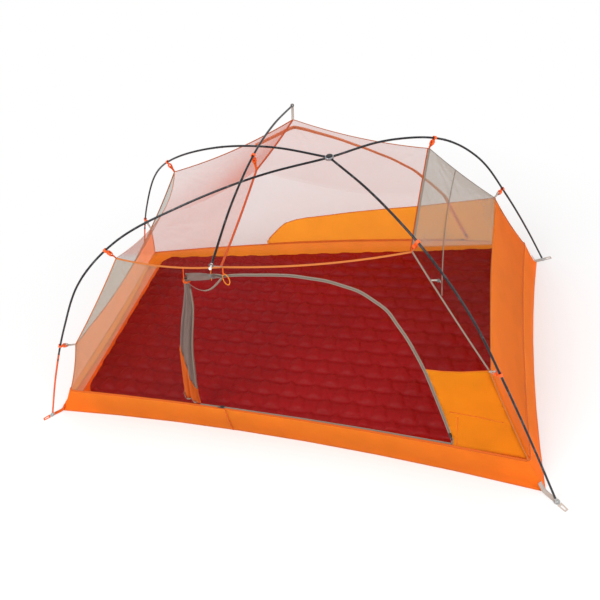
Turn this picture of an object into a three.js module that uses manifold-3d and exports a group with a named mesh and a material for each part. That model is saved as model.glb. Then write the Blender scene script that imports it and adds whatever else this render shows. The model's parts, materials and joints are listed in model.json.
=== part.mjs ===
// A freestanding two-person tent body on its hubbed pole frame, with a quilted pad filling the floor.
// Millimetres. +X is the head end, -Y the front door's side, +Z up.
// The origin is on the ground at the middle of the floor.

import * as THREE from "three";
import { mergeVertices } from "three/addons/utils/BufferGeometryUtils.js";
import Module from "manifold-3d";

const wasm = await Module();
wasm.setup();

// ---- Driving dimensions ----
const FRONT = -1;
const REAR = 1;

// Points are [x, distance from the centre line, z]; the side's sign is put on y when they are used.
const HUB = [322, 0, 1086];
const HEAD_TIP = [1181, 692, 1.5];
const FOOT_TIP = [-1178, 570, 1.5];
const HEAD_LEG = [HUB, [510, 180, 1043], [709, 363, 930], [851, 474, 763], [972, 558, 515], [1080, 629, 261],
  HEAD_TIP];
const FOOT_LEG = [HUB, [65, 102, 1079], [-231, 212, 1025], [-510, 299, 928], [-706, 389, 788],
  [-890, 449, 537], [-1042, 513, 271], FOOT_TIP];
const RIDGE_POLE = [[23, -561, 1025], [18, -281, 1079], [22, 0, 1106], [18, 281, 1079], [23, 561, 1025]];

// Canopy corners, where the fabric is hung from the poles.
const HEAD_SHOULDER = [653, 325, 916];
const FOOT_SHOULDER = [-548, 313, 848];
const APEX = [29, 503, 982];
const RIDGE_CENTRE = [21, 0, 1041];
const HEAD_LOW = [923, 514, 531];
const FOOT_LOW = [-906, 430, 408];

// Floor and bathtub corners; the pad pushes the rear side out, so the two sides differ.
const FLOOR_CORNERS = { head: { [FRONT]: [1145, 658, 0], [REAR]: [1152, 680, 0] },
  foot: { [FRONT]: [-1145, 538, 0], [REAR]: [-1145, 545, 0] } };
const TUB_CORNERS = { head: { [FRONT]: [1081, 615, 138], [REAR]: [1081, 672, 138] },
  foot: { [FRONT]: [-1039, 507, 143], [REAR]: [-1039, 535, 143] } };
const FLOOR_BOW = { [FRONT]: -50, [REAR]: 15, end: -30 };
const TUB_BOW = { [FRONT]: -30, [REAR]: 50, end: -16 };

const FABRIC = 1.2; // modelled thickness of a fabric panel
const SEAM_HALF = 5; // a panel stops this far short of the seam line
const SEAM_SAG = 22;
const FOOT_EDGE_SAG = [60, 0, -25];
const HEAD_EDGE_SAG = [0, 0, -15];
const APEX_BREAK = 0.46; // share of the long walls' top edge at which the apex sits
const FOOT_LOW_BREAK = 0.62;
const HEAD_LOW_BREAK = 0.51;

// Poles
const POLE_R = 4.4;
const BORE_R = 3.7;
const SPIGOT_R = 3.3;
const SPIGOT_BORE_R = 2.2;
const SPIGOT_LENGTH = 40;
const CORD_R = 1.1;
const SIDES = 6;
const STATION = 75; // longest straight facet along a bent tube
const SECTION_GAP = 0.3;
const HUB_CLEAR = 18; // the first section starts this far from the hub's centre
const TIP_LENGTH = 20;
const SPIGOT_GRIP = 6; // how far a spigot is set into its own section
const PLUG_R = 3.2; // a tip's plug inside the tube
const PLUG_LENGTH = 30;
const TIP_NECK_R = 2.6;
const BALL_R = 5.2;
const HEAD_SECTIONS = 3;
const FOOT_UPPER_SECTIONS = 3;
const FOOT_LOWEST_SECTION = 430;

// Doors: an outline in the X-Z plane, the same for both doors.
const DOOR_HINGE_TOP = [-152, 900];
const DOOR_HINGE_FOOT = [-312, 143];
const DOOR_APEX = [30, 952];
const DOOR_ARCH = [[235, 912], [380, 862], [493, 806], [576, 735], [655, 617], [704, 520]];
const DOOR_SIDE_FOOT = [802, 176];
const DOOR_HEAD_CORNER = [802, 143];
const ZIP_SLOT = 16; // clear width in which a zip slider runs
const HINGE_SLOT = 2;

const COLOUR = { pole: 0x2f3133, poleTip: 0xd9d9d6, orangePole: 0xe8692a, hub: 0x9a9c9e, cap: 0x1d1e20,
  clip: 0xf2641c, roof: 0xe3d1ce, mesh: 0xcbc8c6, nylon: 0xe8822c, floor: 0xe97b31, pad: 0x8a141a,
  valve: 0x2a2a2c, webbing: 0xe9702a, cord: 0xe0a23c, shock: 0x33363a };

// ---- Small helpers ----
const on = (p, side) => new THREE.Vector3(p[0], p[1] * side, p[2]);
const lerp = (a, b, t) => new THREE.Vector3().lerpVectors(a, b, t);

// A geometry's triangles turned round if they face inwards.
function facingOut(geometry) {
  geometry.deleteAttribute("normal");
  geometry.deleteAttribute("uv");
  const merged = mergeVertices(geometry, 1e-3);
  const p = merged.getAttribute("position");
  const index = merged.index.array;
  const a = new THREE.Vector3();
  const b = new THREE.Vector3();
  const c = new THREE.Vector3();
  const kept = [];
  let volume = 0;
  for (let i = 0; i < index.length; i += 3) {
    const [ia, ib, ic] = [index[i], index[i + 1], index[i + 2]];
    if (ia === ib || ib === ic || ic === ia) continue;
    kept.push(ia, ib, ic);
    a.fromBufferAttribute(p, ia);
    b.fromBufferAttribute(p, ib);
    c.fromBufferAttribute(p, ic);
    volume += a.dot(b.cross(c));
  }
  if (volume < 0) kept.reverse();
  merged.setIndex(kept);
  return merged;
}

function toSolid(geometry) {
  const g = facingOut(geometry);
  return new wasm.Manifold(new wasm.Mesh({
    numProp: 3,
    vertProperties: new Float32Array(g.getAttribute("position").array),
    triVerts: new Uint32Array(g.index.array),
  }));
}

function toGeometry(solid) {
  const m = solid.getMesh();
  const g = new THREE.BufferGeometry();
  g.setAttribute("position", new THREE.Float32BufferAttribute(m.vertProperties, 3));
  g.setIndex(Array.from(m.triVerts));
  return g;
}

const joined = (...geometries) => toGeometry(geometries.map(toSolid).reduce((a, b) => a.add(b)));
const cut = (geometry, tool) => toGeometry(toSolid(geometry).subtract(toSolid(tool)));
const kept = (geometry, tool) => toGeometry(toSolid(geometry).intersect(toSolid(tool)));

const root = new THREE.Group();

function addPiece(name, geometry, colour, roughness = 0.6, metalness = 0) {
  const shown = geometry.index ? geometry.toNonIndexed() : geometry;
  shown.computeVertexNormals();
  const mesh = new THREE.Mesh(shown, new THREE.MeshStandardMaterial({ color: colour, roughness, metalness }));
  mesh.name = name;
  root.add(mesh);
  return mesh;
}

// A place whose Z runs along zAxis and whose Y leans towards yHint.
function basis(position, zAxis, yHint) {
  const z = zAxis.clone().normalize();
  const x = new THREE.Vector3().crossVectors(yHint, z).normalize();
  const y = new THREE.Vector3().crossVectors(z, x);
  return new THREE.Matrix4().makeBasis(x, y, z).setPosition(position);
}

// ---- Tubes, cords and spigots along a bent pole ----
function poleCurve(knots, side) {
  const curve = new THREE.CatmullRomCurve3(knots.map((k) => on(k, side)), false, "centripetal");
  curve.arcLengthDivisions = 400;
  curve.total = curve.getLength();
  const chord = curve.getPoint(1).sub(curve.getPoint(0));
  curve.reference = new THREE.Vector3(-chord.y, chord.x, 0).normalize();
  return curve;
}

function poleFrame(curve, s) {
  const u = THREE.MathUtils.clamp(s / curve.total, 0, 1);
  const along = curve.getTangentAt(u);
  const normal = curve.reference.clone().addScaledVector(along, -curve.reference.dot(along)).normalize();
  const side = new THREE.Vector3().crossVectors(normal, along);
  const centre = curve.getPointAt(u).addScaledVector(along, s - u * curve.total);
  return { centre, along, normal, side };
}

// Stations from a to b, no further apart than STATION.
function stations(a, b) {
  const count = Math.max(1, Math.ceil((b - a) / STATION));
  return Array.from({ length: count + 1 }, (_, i) => a + ((b - a) * i) / count);
}

// A turned profile of [radius, distance along the curve] points, bent along the curve.
function bentLathe(profile, curve, sides = SIDES) {
  const points = profile.map(([r, s]) => new THREE.Vector2(r, s));
  const g = new THREE.LatheGeometry(points, sides);
  const p = g.getAttribute("position");
  for (let i = 0; i < p.count; i += 1) {
    const f = poleFrame(curve, p.getY(i));
    const v = f.centre.addScaledVector(f.normal, p.getX(i)).addScaledVector(f.side, p.getZ(i));
    p.setXYZ(i, v.x, v.y, v.z);
  }
  return facingOut(g);
}

// Where each facet of a section starts: its first stretch holds the spigot of the section before it.
const sectionStations = (a, b) => [a, ...stations(a + SPIGOT_LENGTH, b)];

function tubeSection(curve, from, to, hasSpigot) {
  const wall = sectionStations(from, to);
  const outer = wall.map((s) => [POLE_R, s]);
  const inner = wall.map((s) => [BORE_R, s]).reverse();
  if (!hasSpigot) return bentLathe([...outer, ...inner, outer[0]], curve);
  const end = to + SPIGOT_LENGTH - 1;
  const set = to - SPIGOT_GRIP;
  const spigot = [[SPIGOT_R, to], [SPIGOT_R, end], [SPIGOT_BORE_R, end], [SPIGOT_BORE_R, set], [BORE_R, set]];
  return bentLathe([...outer, ...spigot, ...inner.slice(1), outer[0]], curve);
}

function cordGeometry(curve, from, to) {
  const side = stations(from, to).map((s) => [CORD_R, s]);
  return bentLathe([[0, from], ...side, [0, to]], curve, 5);
}

// A leg's sections, its shock cord and its foot tip. lengths run from the hub to the foot.
function addLeg(name, knots, side, lengths, lowestColour) {
  const curve = poleCurve(knots, side);
  let from = HUB_CLEAR;
  lengths.forEach((length, i) => {
    const last = i === lengths.length - 1;
    const to = last ? curve.total - TIP_LENGTH : from + length - SECTION_GAP;
    const colour = last ? lowestColour : COLOUR.pole;
    addPiece(`${name}_section_${i + 1}`, tubeSection(curve, from, to, !last), colour, 0.35, 0.6);
    from += length;
  });
  const cordFrom = HUB_CLEAR + SPIGOT_LENGTH + 1;
  const seat = curve.total - TIP_LENGTH;
  const plug = seat - PLUG_LENGTH;
  const collar = seat + SECTION_GAP;
  addPiece(`${name}_shock_cord`, cordGeometry(curve, cordFrom, plug - 2), COLOUR.shock, 0.9);
  const tip = [[0, plug], [PLUG_R, plug], [PLUG_R, collar], [POLE_R, collar], [POLE_R, seat + 5],
    [TIP_NECK_R, seat + 8], [TIP_NECK_R, curve.total - 3], [0, curve.total]];
  addPiece(`${name}_foot_tip`, bentLathe(tip, curve), COLOUR.poleTip, 0.3, 0.7);
  return curve;
}

function legLengths(knots, side, count, lowest) {
  const total = poleCurve(knots, side).total - HUB_CLEAR - TIP_LENGTH;
  const upper = (total - (lowest ?? 0)) / count;
  const lengths = Array(count).fill(upper);
  return lowest ? [...lengths, lowest] : lengths;
}

const legs = {};
for (const [place, side] of [["front", FRONT], ["rear", REAR]]) {
  const head = legLengths(HEAD_LEG, side, HEAD_SECTIONS);
  const foot = legLengths(FOOT_LEG, side, FOOT_UPPER_SECTIONS, FOOT_LOWEST_SECTION);
  legs[`${place}_head`] = addLeg(`${place}_head_leg`, HEAD_LEG, side, head, COLOUR.pole);
  legs[`${place}_foot`] = addLeg(`${place}_foot_leg`, FOOT_LEG, side, foot, COLOUR.orangePole);
}

// The ridge pole: two sections, one cord and a ball tip at each end.
function addRidgePole() {
  const curve = poleCurve(RIDGE_POLE, REAR);
  const middle = curve.total / 2;
  const frontSection = tubeSection(curve, TIP_LENGTH, middle - SECTION_GAP, true);
  const rearSection = tubeSection(curve, middle, curve.total - TIP_LENGTH, false);
  addPiece("ridge_pole_front_section", frontSection, COLOUR.pole, 0.35, 0.6);
  addPiece("ridge_pole_rear_section", rearSection, COLOUR.pole, 0.35, 0.6);
  const cordEnd = TIP_LENGTH + PLUG_LENGTH + 2;
  addPiece("ridge_pole_shock_cord", cordGeometry(curve, cordEnd, curve.total - cordEnd), COLOUR.shock, 0.9);
  for (const [place, end, inwards] of [["front", 0, 1], ["rear", curve.total, -1]]) {
    const at = (distance) => end + inwards * distance;
    const plug = at(TIP_LENGTH + PLUG_LENGTH);
    const collar = at(TIP_LENGTH - SECTION_GAP);
    const tip = [[0, plug], [PLUG_R, plug], [PLUG_R, collar], [POLE_R, collar], [POLE_R, at(TIP_LENGTH - 5)],
      [TIP_NECK_R, at(TIP_LENGTH - 7)], [TIP_NECK_R, at(6)], [BALL_R, at(2)], [BALL_R, at(-3)], [0, at(-7)]];
    addPiece(`ridge_pole_${place}_tip`, bentLathe(tip, curve), COLOUR.poleTip, 0.35);
  }
  return curve;
}
const ridgePole = addRidgePole();

// A turned solid about Z from a profile of [radius, height] points.
function turned(profile, sides) {
  const points = profile.map(([r, z]) => new THREE.Vector2(r, z));
  return new THREE.LatheGeometry(points, sides).rotateX(Math.PI / 2);
}

// ---- Hub: a disc with a socket arm and spigot for each leg, and a cap on top ----
const HUB_R = 17;
const HUB_HALF = 6; // half the disc's height
const HUB_ARM_R = 5.6;
const CAP_R = 12;

function addHub() {
  const disc = turned([[0, -HUB_HALF], [HUB_R - 2, -HUB_HALF], [HUB_R, 2 - HUB_HALF], [HUB_R, HUB_HALF - 2],
    [HUB_R - 2, HUB_HALF], [0, HUB_HALF]], 16).translate(...HUB);
  const arms = Object.values(legs).map((curve) => {
    const end = HUB_CLEAR + SPIGOT_LENGTH - 1;
    const shoulder = HUB_CLEAR - SECTION_GAP;
    const stub = [[0, 2], [HUB_ARM_R, 2], [HUB_ARM_R, shoulder], [SPIGOT_R, shoulder], [SPIGOT_R, HUB_CLEAR],
      [SPIGOT_R, end], [0, end]];
    return bentLathe(stub, curve);
  });
  addPiece("hub_body", joined(disc, ...arms), COLOUR.hub, 0.35, 0.8);
  const seat = HUB_HALF + SECTION_GAP;
  const crown = seat + 4.2;
  const cap = turned([[0, seat], [CAP_R, seat], [CAP_R, crown - 1.5], [CAP_R - 3, crown], [0, crown]], 16);
  addPiece("hub_cap", facingOut(cap.translate(...HUB)), COLOUR.cap, 0.5);
}
addHub();

// ---- Canopy edges and panels ----
// A path through points at given shares of its length, with a sag added to each span.
function path(points, breaks, sags = []) {
  return (t) => {
    let k = 0;
    while (k < breaks.length - 2 && t > breaks[k + 1]) k += 1;
    const local = (t - breaks[k]) / (breaks[k + 1] - breaks[k]);
    const p = lerp(points[k], points[k + 1], local);
    const sag = sags[k];
    if (sag) p.addScaledVector(new THREE.Vector3(...sag), 4 * local * (1 - local));
    return p;
  };
}

// A smooth patch between four edges: top and bottom run along u, left and right along v.
function coonsPatch(top, bottom, left, right) {
  const corner = [top(0), top(1), bottom(0), bottom(1)];
  return (u, v) => {
    const p = top(u).multiplyScalar(1 - v).addScaledVector(bottom(u), v);
    p.addScaledVector(left(v), 1 - u).addScaledVector(right(v), u);
    p.addScaledVector(corner[0], -(1 - u) * (1 - v)).addScaledVector(corner[1], -u * (1 - v));
    return p.addScaledVector(corner[2], -(1 - u) * v).addScaledVector(corner[3], -u * v);
  };
}

// A closed sheet of the given thickness about the surface point(u, v), over the listed u and v values.
function sheet(point, us, vs, thickness = FABRIC) {
  const nu = us.length;
  const nv = vs.length;
  const middle = [];
  for (const u of us) for (const v of vs) middle.push(point(u, v));
  const faces = [];
  for (let i = 0; i + 1 < nu; i += 1) {
    for (let j = 0; j + 1 < nv; j += 1) {
      const a = i * nv + j;
      faces.push(a, a + nv, a + nv + 1, a, a + nv + 1, a + 1);
    }
  }
  const surface = new THREE.BufferGeometry().setFromPoints(middle);
  surface.setIndex(faces);
  surface.computeVertexNormals();
  const normals = surface.getAttribute("normal");
  const positions = [];
  for (const half of [0.5, -0.5]) {
    middle.forEach((m, i) => {
      const n = new THREE.Vector3().fromBufferAttribute(normals, i);
      const q = m.clone().addScaledVector(n, half * thickness);
      positions.push(q.x, q.y, q.z);
    });
  }
  const under = middle.length;
  const index = [...faces];
  for (let i = 0; i < faces.length; i += 3) {
    index.push(faces[i] + under, faces[i + 2] + under, faces[i + 1] + under);
  }
  const rim = [];
  for (let i = 0; i < nu; i += 1) rim.push(i * nv);
  for (let j = 1; j < nv; j += 1) rim.push((nu - 1) * nv + j);
  for (let i = nu - 2; i >= 0; i -= 1) rim.push(i * nv + nv - 1);
  for (let j = nv - 2; j > 0; j -= 1) rim.push(j);
  rim.forEach((a, i) => {
    const b = rim[(i + 1) % rim.length];
    index.push(a, under + b, b, a, under + a, under + b);
  });
  const g = new THREE.BufferGeometry();
  g.setAttribute("position", new THREE.Float32BufferAttribute(positions, 3));
  g.setIndex(index);
  return facingOut(g);
}

// Values from 0 to 1 in equal steps, through the given breaks, stopping short of both ends.
function steps(breaks, counts, startGap, endGap) {
  const values = [breaks[0] + startGap];
  counts.forEach((count, k) => {
    const a = breaks[k];
    const b = breaks[k + 1];
    for (let i = 1; i <= count; i += 1) values.push(a + ((b - a) * i) / count);
  });
  values[values.length - 1] -= endGap;
  return values;
}

const seamSag = [0, 0, -SEAM_SAG];

const roofSeam = (side) => path([on(FOOT_SHOULDER, side), on(APEX, side), on(HEAD_SHOULDER, side)],
  [0, APEX_BREAK, 1], [seamSag, seamSag]);
const tubTop = (side) => path([on(TUB_CORNERS.foot[side], side), on(TUB_CORNERS.head[side], side)], [0, 1],
  [[0, side * TUB_BOW[side], 0]]);
const cornerEdge = (side, shoulder, low, lowBreak, tub) => path([on(shoulder, side), on(low, side),
  on(tub[side], side)], [0, lowBreak, 1]);
const footCorner = (side) => cornerEdge(side, FOOT_SHOULDER, FOOT_LOW, FOOT_LOW_BREAK, TUB_CORNERS.foot);
const headCorner = (side) => cornerEdge(side, HEAD_SHOULDER, HEAD_LOW, HEAD_LOW_BREAK, TUB_CORNERS.head);
const endTop = (shoulder, sag) => path([on(shoulder, FRONT), on(shoulder, REAR)], [0, 1], [sag]);
const endBottom = (corners, inwards) => path([on(corners[FRONT], FRONT), on(corners[REAR], REAR)], [0, 1],
  [[inwards * -TUB_BOW.end, 0, 0]]);

// A flat strap from one point to another, across the given width direction.
function strap(from, to, across, width, thickness) {
  const run = new THREE.Vector3().subVectors(to, from);
  const g = new THREE.BoxGeometry(width, thickness, run.length());
  const x = across.clone().addScaledVector(run, -across.dot(run) / run.lengthSq()).normalize();
  const z = run.clone().normalize();
  const y = new THREE.Vector3().crossVectors(z, x);
  return g.applyMatrix4(new THREE.Matrix4().makeBasis(x, y, z).setPosition(lerp(from, to, 0.5)));
}

// ---- Clips: each hooks over a pole and holds a webbing tab of the canopy ----
const CLIP_DEPTH = 12;
const CLIP_REACH = 27; // from the pole's centre to the clip's lower edge
const CLIP_INNER_R = 5.6;
const CLIP_OUTER_R = 8.4;
const CLIP_MOUTH = 195; // degrees at which the hook's open end stops
const CLIP_NECK_HALF = 3.2;
const CLIP_NECK_FOOT = -12;
const CLIP_RING_HALF = 8;
const CLIP_RING_WALL = 2.7;
const TAB_GAP = 2;
const TAB_WIDTH = 8;

function clipGeometry() {
  const s = new THREE.Shape();
  const mouth = THREE.MathUtils.degToRad(CLIP_MOUTH);
  const stem = -Math.acos((CLIP_NECK_HALF + 0.7) / CLIP_OUTER_R);
  const ringTop = CLIP_NECK_FOOT - 1;
  s.absarc(0, 0, CLIP_OUTER_R, stem, mouth, false);
  s.absarc(0, 0, CLIP_INNER_R, mouth, -Math.PI / 2, true);
  s.lineTo(-CLIP_NECK_HALF, -CLIP_OUTER_R);
  s.lineTo(-CLIP_NECK_HALF, CLIP_NECK_FOOT);
  s.lineTo(-CLIP_RING_HALF, ringTop);
  s.lineTo(-CLIP_RING_HALF, -CLIP_REACH);
  s.lineTo(CLIP_RING_HALF, -CLIP_REACH);
  s.lineTo(CLIP_RING_HALF, ringTop);
  s.lineTo(CLIP_NECK_HALF + 0.7, CLIP_NECK_FOOT);
  s.closePath();
  const slotHalf = CLIP_RING_HALF - CLIP_RING_WALL;
  const slotTop = ringTop - CLIP_RING_WALL;
  const slotFoot = CLIP_RING_WALL - CLIP_REACH;
  const slot = new THREE.Path();
  slot.moveTo(-slotHalf, slotTop);
  slot.lineTo(-slotHalf, slotFoot);
  slot.lineTo(slotHalf, slotFoot);
  slot.lineTo(slotHalf, slotTop);
  slot.closePath();
  s.holes.push(slot);
  return new THREE.ExtrudeGeometry(s, { depth: CLIP_DEPTH, bevelEnabled: false, curveSegments: 5 })
    .translate(0, 0, -CLIP_DEPTH / 2);
}

// The point of a pole curve nearest to an anchor.
function nearest(curve, anchor) {
  const count = 600;
  let best = { gap: Infinity, u: 0 };
  for (let i = 0; i <= count; i += 1) {
    const gap = curve.getPointAt(i / count).distanceTo(anchor);
    if (gap < best.gap) best = { gap, u: i / count };
  }
  return { point: curve.getPointAt(best.u), tangent: curve.getTangentAt(best.u) };
}

// Adds a clip between a pole and a fabric anchor, and returns the webbing tab that reaches it.
function addClip(name, curve, anchor, inside) {
  const { point, tangent } = nearest(curve, anchor);
  const towards = new THREE.Vector3().subVectors(anchor, point);
  towards.addScaledVector(tangent, -towards.dot(tangent)).normalize();
  const g = clipGeometry().applyMatrix4(basis(point, tangent, towards.clone().negate()));
  addPiece(name, facingOut(g), COLOUR.clip, 0.45);
  const end = point.clone().addScaledVector(towards, CLIP_REACH + TAB_GAP);
  const across = new THREE.Vector3().crossVectors(tangent, towards);
  return [strap(end, anchor, across, TAB_WIDTH, FABRIC), strap(anchor, inside, across, TAB_WIDTH, FABRIC)];
}

// ---- Long walls and their doors ----
const doorOutline = () => [DOOR_HINGE_FOOT, DOOR_HEAD_CORNER, DOOR_SIDE_FOOT, ...[...DOOR_ARCH].reverse(),
  DOOR_APEX, DOOR_HINGE_TOP].map(([x, z]) => new THREE.Vector2(x, z));

// A convex outline moved inwards, by a distance of its own on each edge.
function insetOutline(points, distance) {
  const lines = points.map((p, i) => {
    const q = points[(i + 1) % points.length];
    const d = new THREE.Vector2().subVectors(q, p).normalize();
    const inward = new THREE.Vector2(-d.y, d.x);
    return { p: p.clone().addScaledVector(inward, distance(i)), d };
  });
  return lines.map((line, i) => {
    const before = lines[(i + lines.length - 1) % lines.length];
    const det = before.d.x * line.d.y - before.d.y * line.d.x;
    const gap = new THREE.Vector2().subVectors(line.p, before.p);
    const t = (gap.x * line.d.y - gap.y * line.d.x) / det;
    return before.p.clone().addScaledVector(before.d, t);
  });
}

// A prism through a long wall, from an outline in the X-Z plane.
function doorPrism(outline, side) {
  const depth = 500;
  const g = new THREE.ExtrudeGeometry(new THREE.Shape(outline), { depth, bevelEnabled: false });
  return g.rotateX(Math.PI / 2).translate(0, side * 550 + depth / 2, 0);
}

function longWall(side) {
  const patch = coonsPatch(roofSeam(side), tubTop(side), footCorner(side), headCorner(side));
  const edge = SEAM_HALF / 1200;
  const us = steps([0, APEX_BREAK, 1], [5, 6], edge * 0.7, edge * 0.7);
  const vs = steps([0, 0.3, 1], [3, 5], edge * 1.5, edge * 1.5);
  return { patch, solid: sheet(patch, us, vs) };
}

const BELOW_WALL = 45;

// The doorway's outline, carried down past the wall's foot so that no strip of wall is left there.
function doorwayOutline() {
  const outline = doorOutline();
  const [foot, head] = outline;
  const top = outline[outline.length - 1];
  const below = foot.clone().sub(top).setLength(BELOW_WALL).add(foot);
  return [below, new THREE.Vector2(head.x, head.y - BELOW_WALL), ...outline.slice(2)];
}

const frontWall = longWall(FRONT);
const rearWall = longWall(REAR);
addPiece("front_wall", cut(frontWall.solid, doorPrism(doorwayOutline(), FRONT)), COLOUR.mesh, 0.8);
addPiece("rear_wall", cut(rearWall.solid, doorPrism(doorwayOutline(), REAR)), COLOUR.mesh, 0.8);

const lastEdge = doorOutline().length - 1;
const doorInset = insetOutline(doorOutline(), (i) => (i === lastEdge ? HINGE_SLOT : ZIP_SLOT));
addPiece("rear_door", kept(rearWall.solid, doorPrism(doorInset, REAR)), COLOUR.nylon, 0.7);

// The point of a long wall at a given x and z.
function wallPoint(side, x, z) {
  const patch = side === FRONT ? frontWall.patch : rearWall.patch;
  let u = 0.5;
  let v = 0.5;
  const h = 1e-4;
  for (let i = 0; i < 60; i += 1) {
    const p = patch(u, v);
    const du = patch(u + h, v).sub(p).divideScalar(h);
    const dv = patch(u, v + h).sub(p).divideScalar(h);
    const det = du.x * dv.z - dv.x * du.z;
    const ex = x - p.x;
    const ez = z - p.z;
    u = THREE.MathUtils.clamp(u + (0.5 * (ex * dv.z - dv.x * ez)) / det, 0.02, 0.98);
    v = THREE.MathUtils.clamp(v + (0.5 * (du.x * ez - ex * du.z)) / det, 0.005, 0.99);
  }
  return patch(u, v);
}

// The line a door is sewn to, just inside the doorway, from its top to its foot.
function doorHinge(side) {
  const [topX, topZ] = DOOR_HINGE_TOP;
  const [footX, footZ] = DOOR_HINGE_FOOT;
  return { top: wallPoint(side, topX + 1, topZ - 1), foot: wallPoint(side, footX + 1, footZ + 1) };
}

// The front door, rolled up and tied back: a bundle beside its sewn edge, and the flap that joins them.
const ROLL_TOP = 0.06;
const ROLL_RADII = [[ROLL_TOP, 7], [0.1, 11], [0.13, 12], [0.22, 21], [0.45, 25], [0.7, 29], [0.9, 33],
  [0.97, 33]];
const ROLL_SIDES = 10;
const ROLL_FLATTEN = 0.75;
const ROLL_CLEAR = 10; // gap between the sewn edge and the bundle
const ROLL_TOWARDS = [0.85, -0.52, 0]; // the way the bundle lies from the sewn edge
const FLAP_TOP = 0.26;
const TIE_AT = 0.115;
const TIE_R = 15.5;
const TIE_THICK = 2;
const TIE_WIDTH = 6;

function addFrontDoor() {
  const { top, foot } = doorHinge(FRONT);
  const axis = new THREE.Vector3().subVectors(foot, top).normalize();
  const out = new THREE.Vector3(...ROLL_TOWARDS);
  out.addScaledVector(axis, -out.dot(axis)).normalize();
  const across = new THREE.Vector3().crossVectors(axis, out).normalize();
  const radius = (t) => {
    const k = ROLL_RADII.findIndex(([at]) => at >= t);
    if (k <= 0) return ROLL_RADII[k < 0 ? ROLL_RADII.length - 1 : 0][1];
    const [[t0, r0], [t1, r1]] = [ROLL_RADII[k - 1], ROLL_RADII[k]];
    return r0 + ((r1 - r0) * (t - t0)) / (t1 - t0);
  };
  const centre = (t) => lerp(top, foot, t).addScaledVector(out, radius(t) * ROLL_FLATTEN + ROLL_CLEAR);
  const around = ROLL_SIDES;
  const positions = [];
  const index = [];
  ROLL_RADII.forEach(([t, r], ring) => {
    for (let i = 0; i < around; i += 1) {
      const angle = (2 * Math.PI * i) / around;
      const p = centre(t).addScaledVector(out, r * ROLL_FLATTEN * Math.cos(angle));
      p.addScaledVector(across, r * Math.sin(angle));
      positions.push(p.x, p.y, p.z);
      const next = (i + 1) % around;
      const a = ring * around;
      const b = a - around;
      if (ring) index.push(b + i, a + i, a + next, b + i, a + next, b + next);
    }
  });
  const last = (ROLL_RADII.length - 1) * around;
  for (let i = 1; i + 1 < around; i += 1) index.push(0, i, i + 1, last, last + i + 1, last + i);
  const roll = new THREE.BufferGeometry();
  roll.setAttribute("position", new THREE.Float32BufferAttribute(positions, 3));
  roll.setIndex(index);
  const hem = (t) => lerp(top, foot, t).addScaledVector(out, 2);
  const flap = sheet((u, v) => lerp(hem(u), centre(u), v), [FLAP_TOP, 0.6, 0.965], [0, 1]);
  addPiece("front_door_roll", joined(roll, flap), COLOUR.nylon, 0.8);
  const ring = new THREE.Shape().absarc(0, 0, TIE_R + TIE_THICK, 0, 2 * Math.PI);
  ring.holes.push(new THREE.Path().absarc(0, 0, TIE_R, 0, 2 * Math.PI, true));
  const band = new THREE.ExtrudeGeometry(ring, { depth: TIE_WIDTH, bevelEnabled: false, curveSegments: 6 });
  band.translate(0, 0, -TIE_WIDTH / 2).applyMatrix4(basis(centre(TIE_AT), axis, out));
  addPiece("front_door_tie", facingOut(band), COLOUR.clip, 0.5);
}
addFrontDoor();

// ---- End walls with their webbing tabs ----
function endWall(name, shoulder, sag, low, lowBreak, corners, sideEdge, inwards, clipNames, curves) {
  const top = endTop(shoulder, sag);
  const patch = coonsPatch(top, endBottom(corners, inwards), sideEdge(FRONT), sideEdge(REAR));
  const edge = SEAM_HALF / 800;
  const us = steps([0, 1], [6], edge * 1.3, edge * 1.3);
  const vs = steps([0, lowBreak, 1], [4, 4], edge, edge);
  const parts = [sheet(patch, us, vs)];
  for (const [k, side] of [FRONT, REAR].entries()) {
    const edgeIn = side === FRONT ? 1 : -1;
    const corner = side === FRONT ? 0 : 1;
    const shoulderIn = patch(corner + edgeIn * 0.025, 0.02);
    const lowIn = patch(corner + edgeIn * 0.02, lowBreak);
    parts.push(...addClip(clipNames[k][0], curves[k], on(shoulder, side), shoulderIn));
    parts.push(...addClip(clipNames[k][1], curves[k], on(low, side), lowIn));
  }
  addPiece(name, joined(...parts), COLOUR.nylon, 0.7);
  return patch;
}

const clipNames = (end) => ["front", "rear"].map((place) => [`${place}_${end}_shoulder_clip`,
  `${place}_${end}_low_clip`]);
endWall("head_end_wall", HEAD_SHOULDER, HEAD_EDGE_SAG, HEAD_LOW, HEAD_LOW_BREAK, TUB_CORNERS.head,
  headCorner, 1, clipNames("head"), [legs.front_head, legs.rear_head]);
endWall("foot_end_wall", FOOT_SHOULDER, FOOT_EDGE_SAG, FOOT_LOW, FOOT_LOW_BREAK, TUB_CORNERS.foot,
  footCorner, -1, clipNames("foot"), [legs.front_foot, legs.rear_foot]);

// ---- Roof: two patches that meet at the ridge, the centre tab and the two apex straps ----
const APEX_RING_R = 8.5;
const APEX_HOLE_R = 4;
const APEX_RING_AT = 9; // how far in from the pole's end the grommet sits
const APEX_STRAP_WIDTH = 10;

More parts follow.
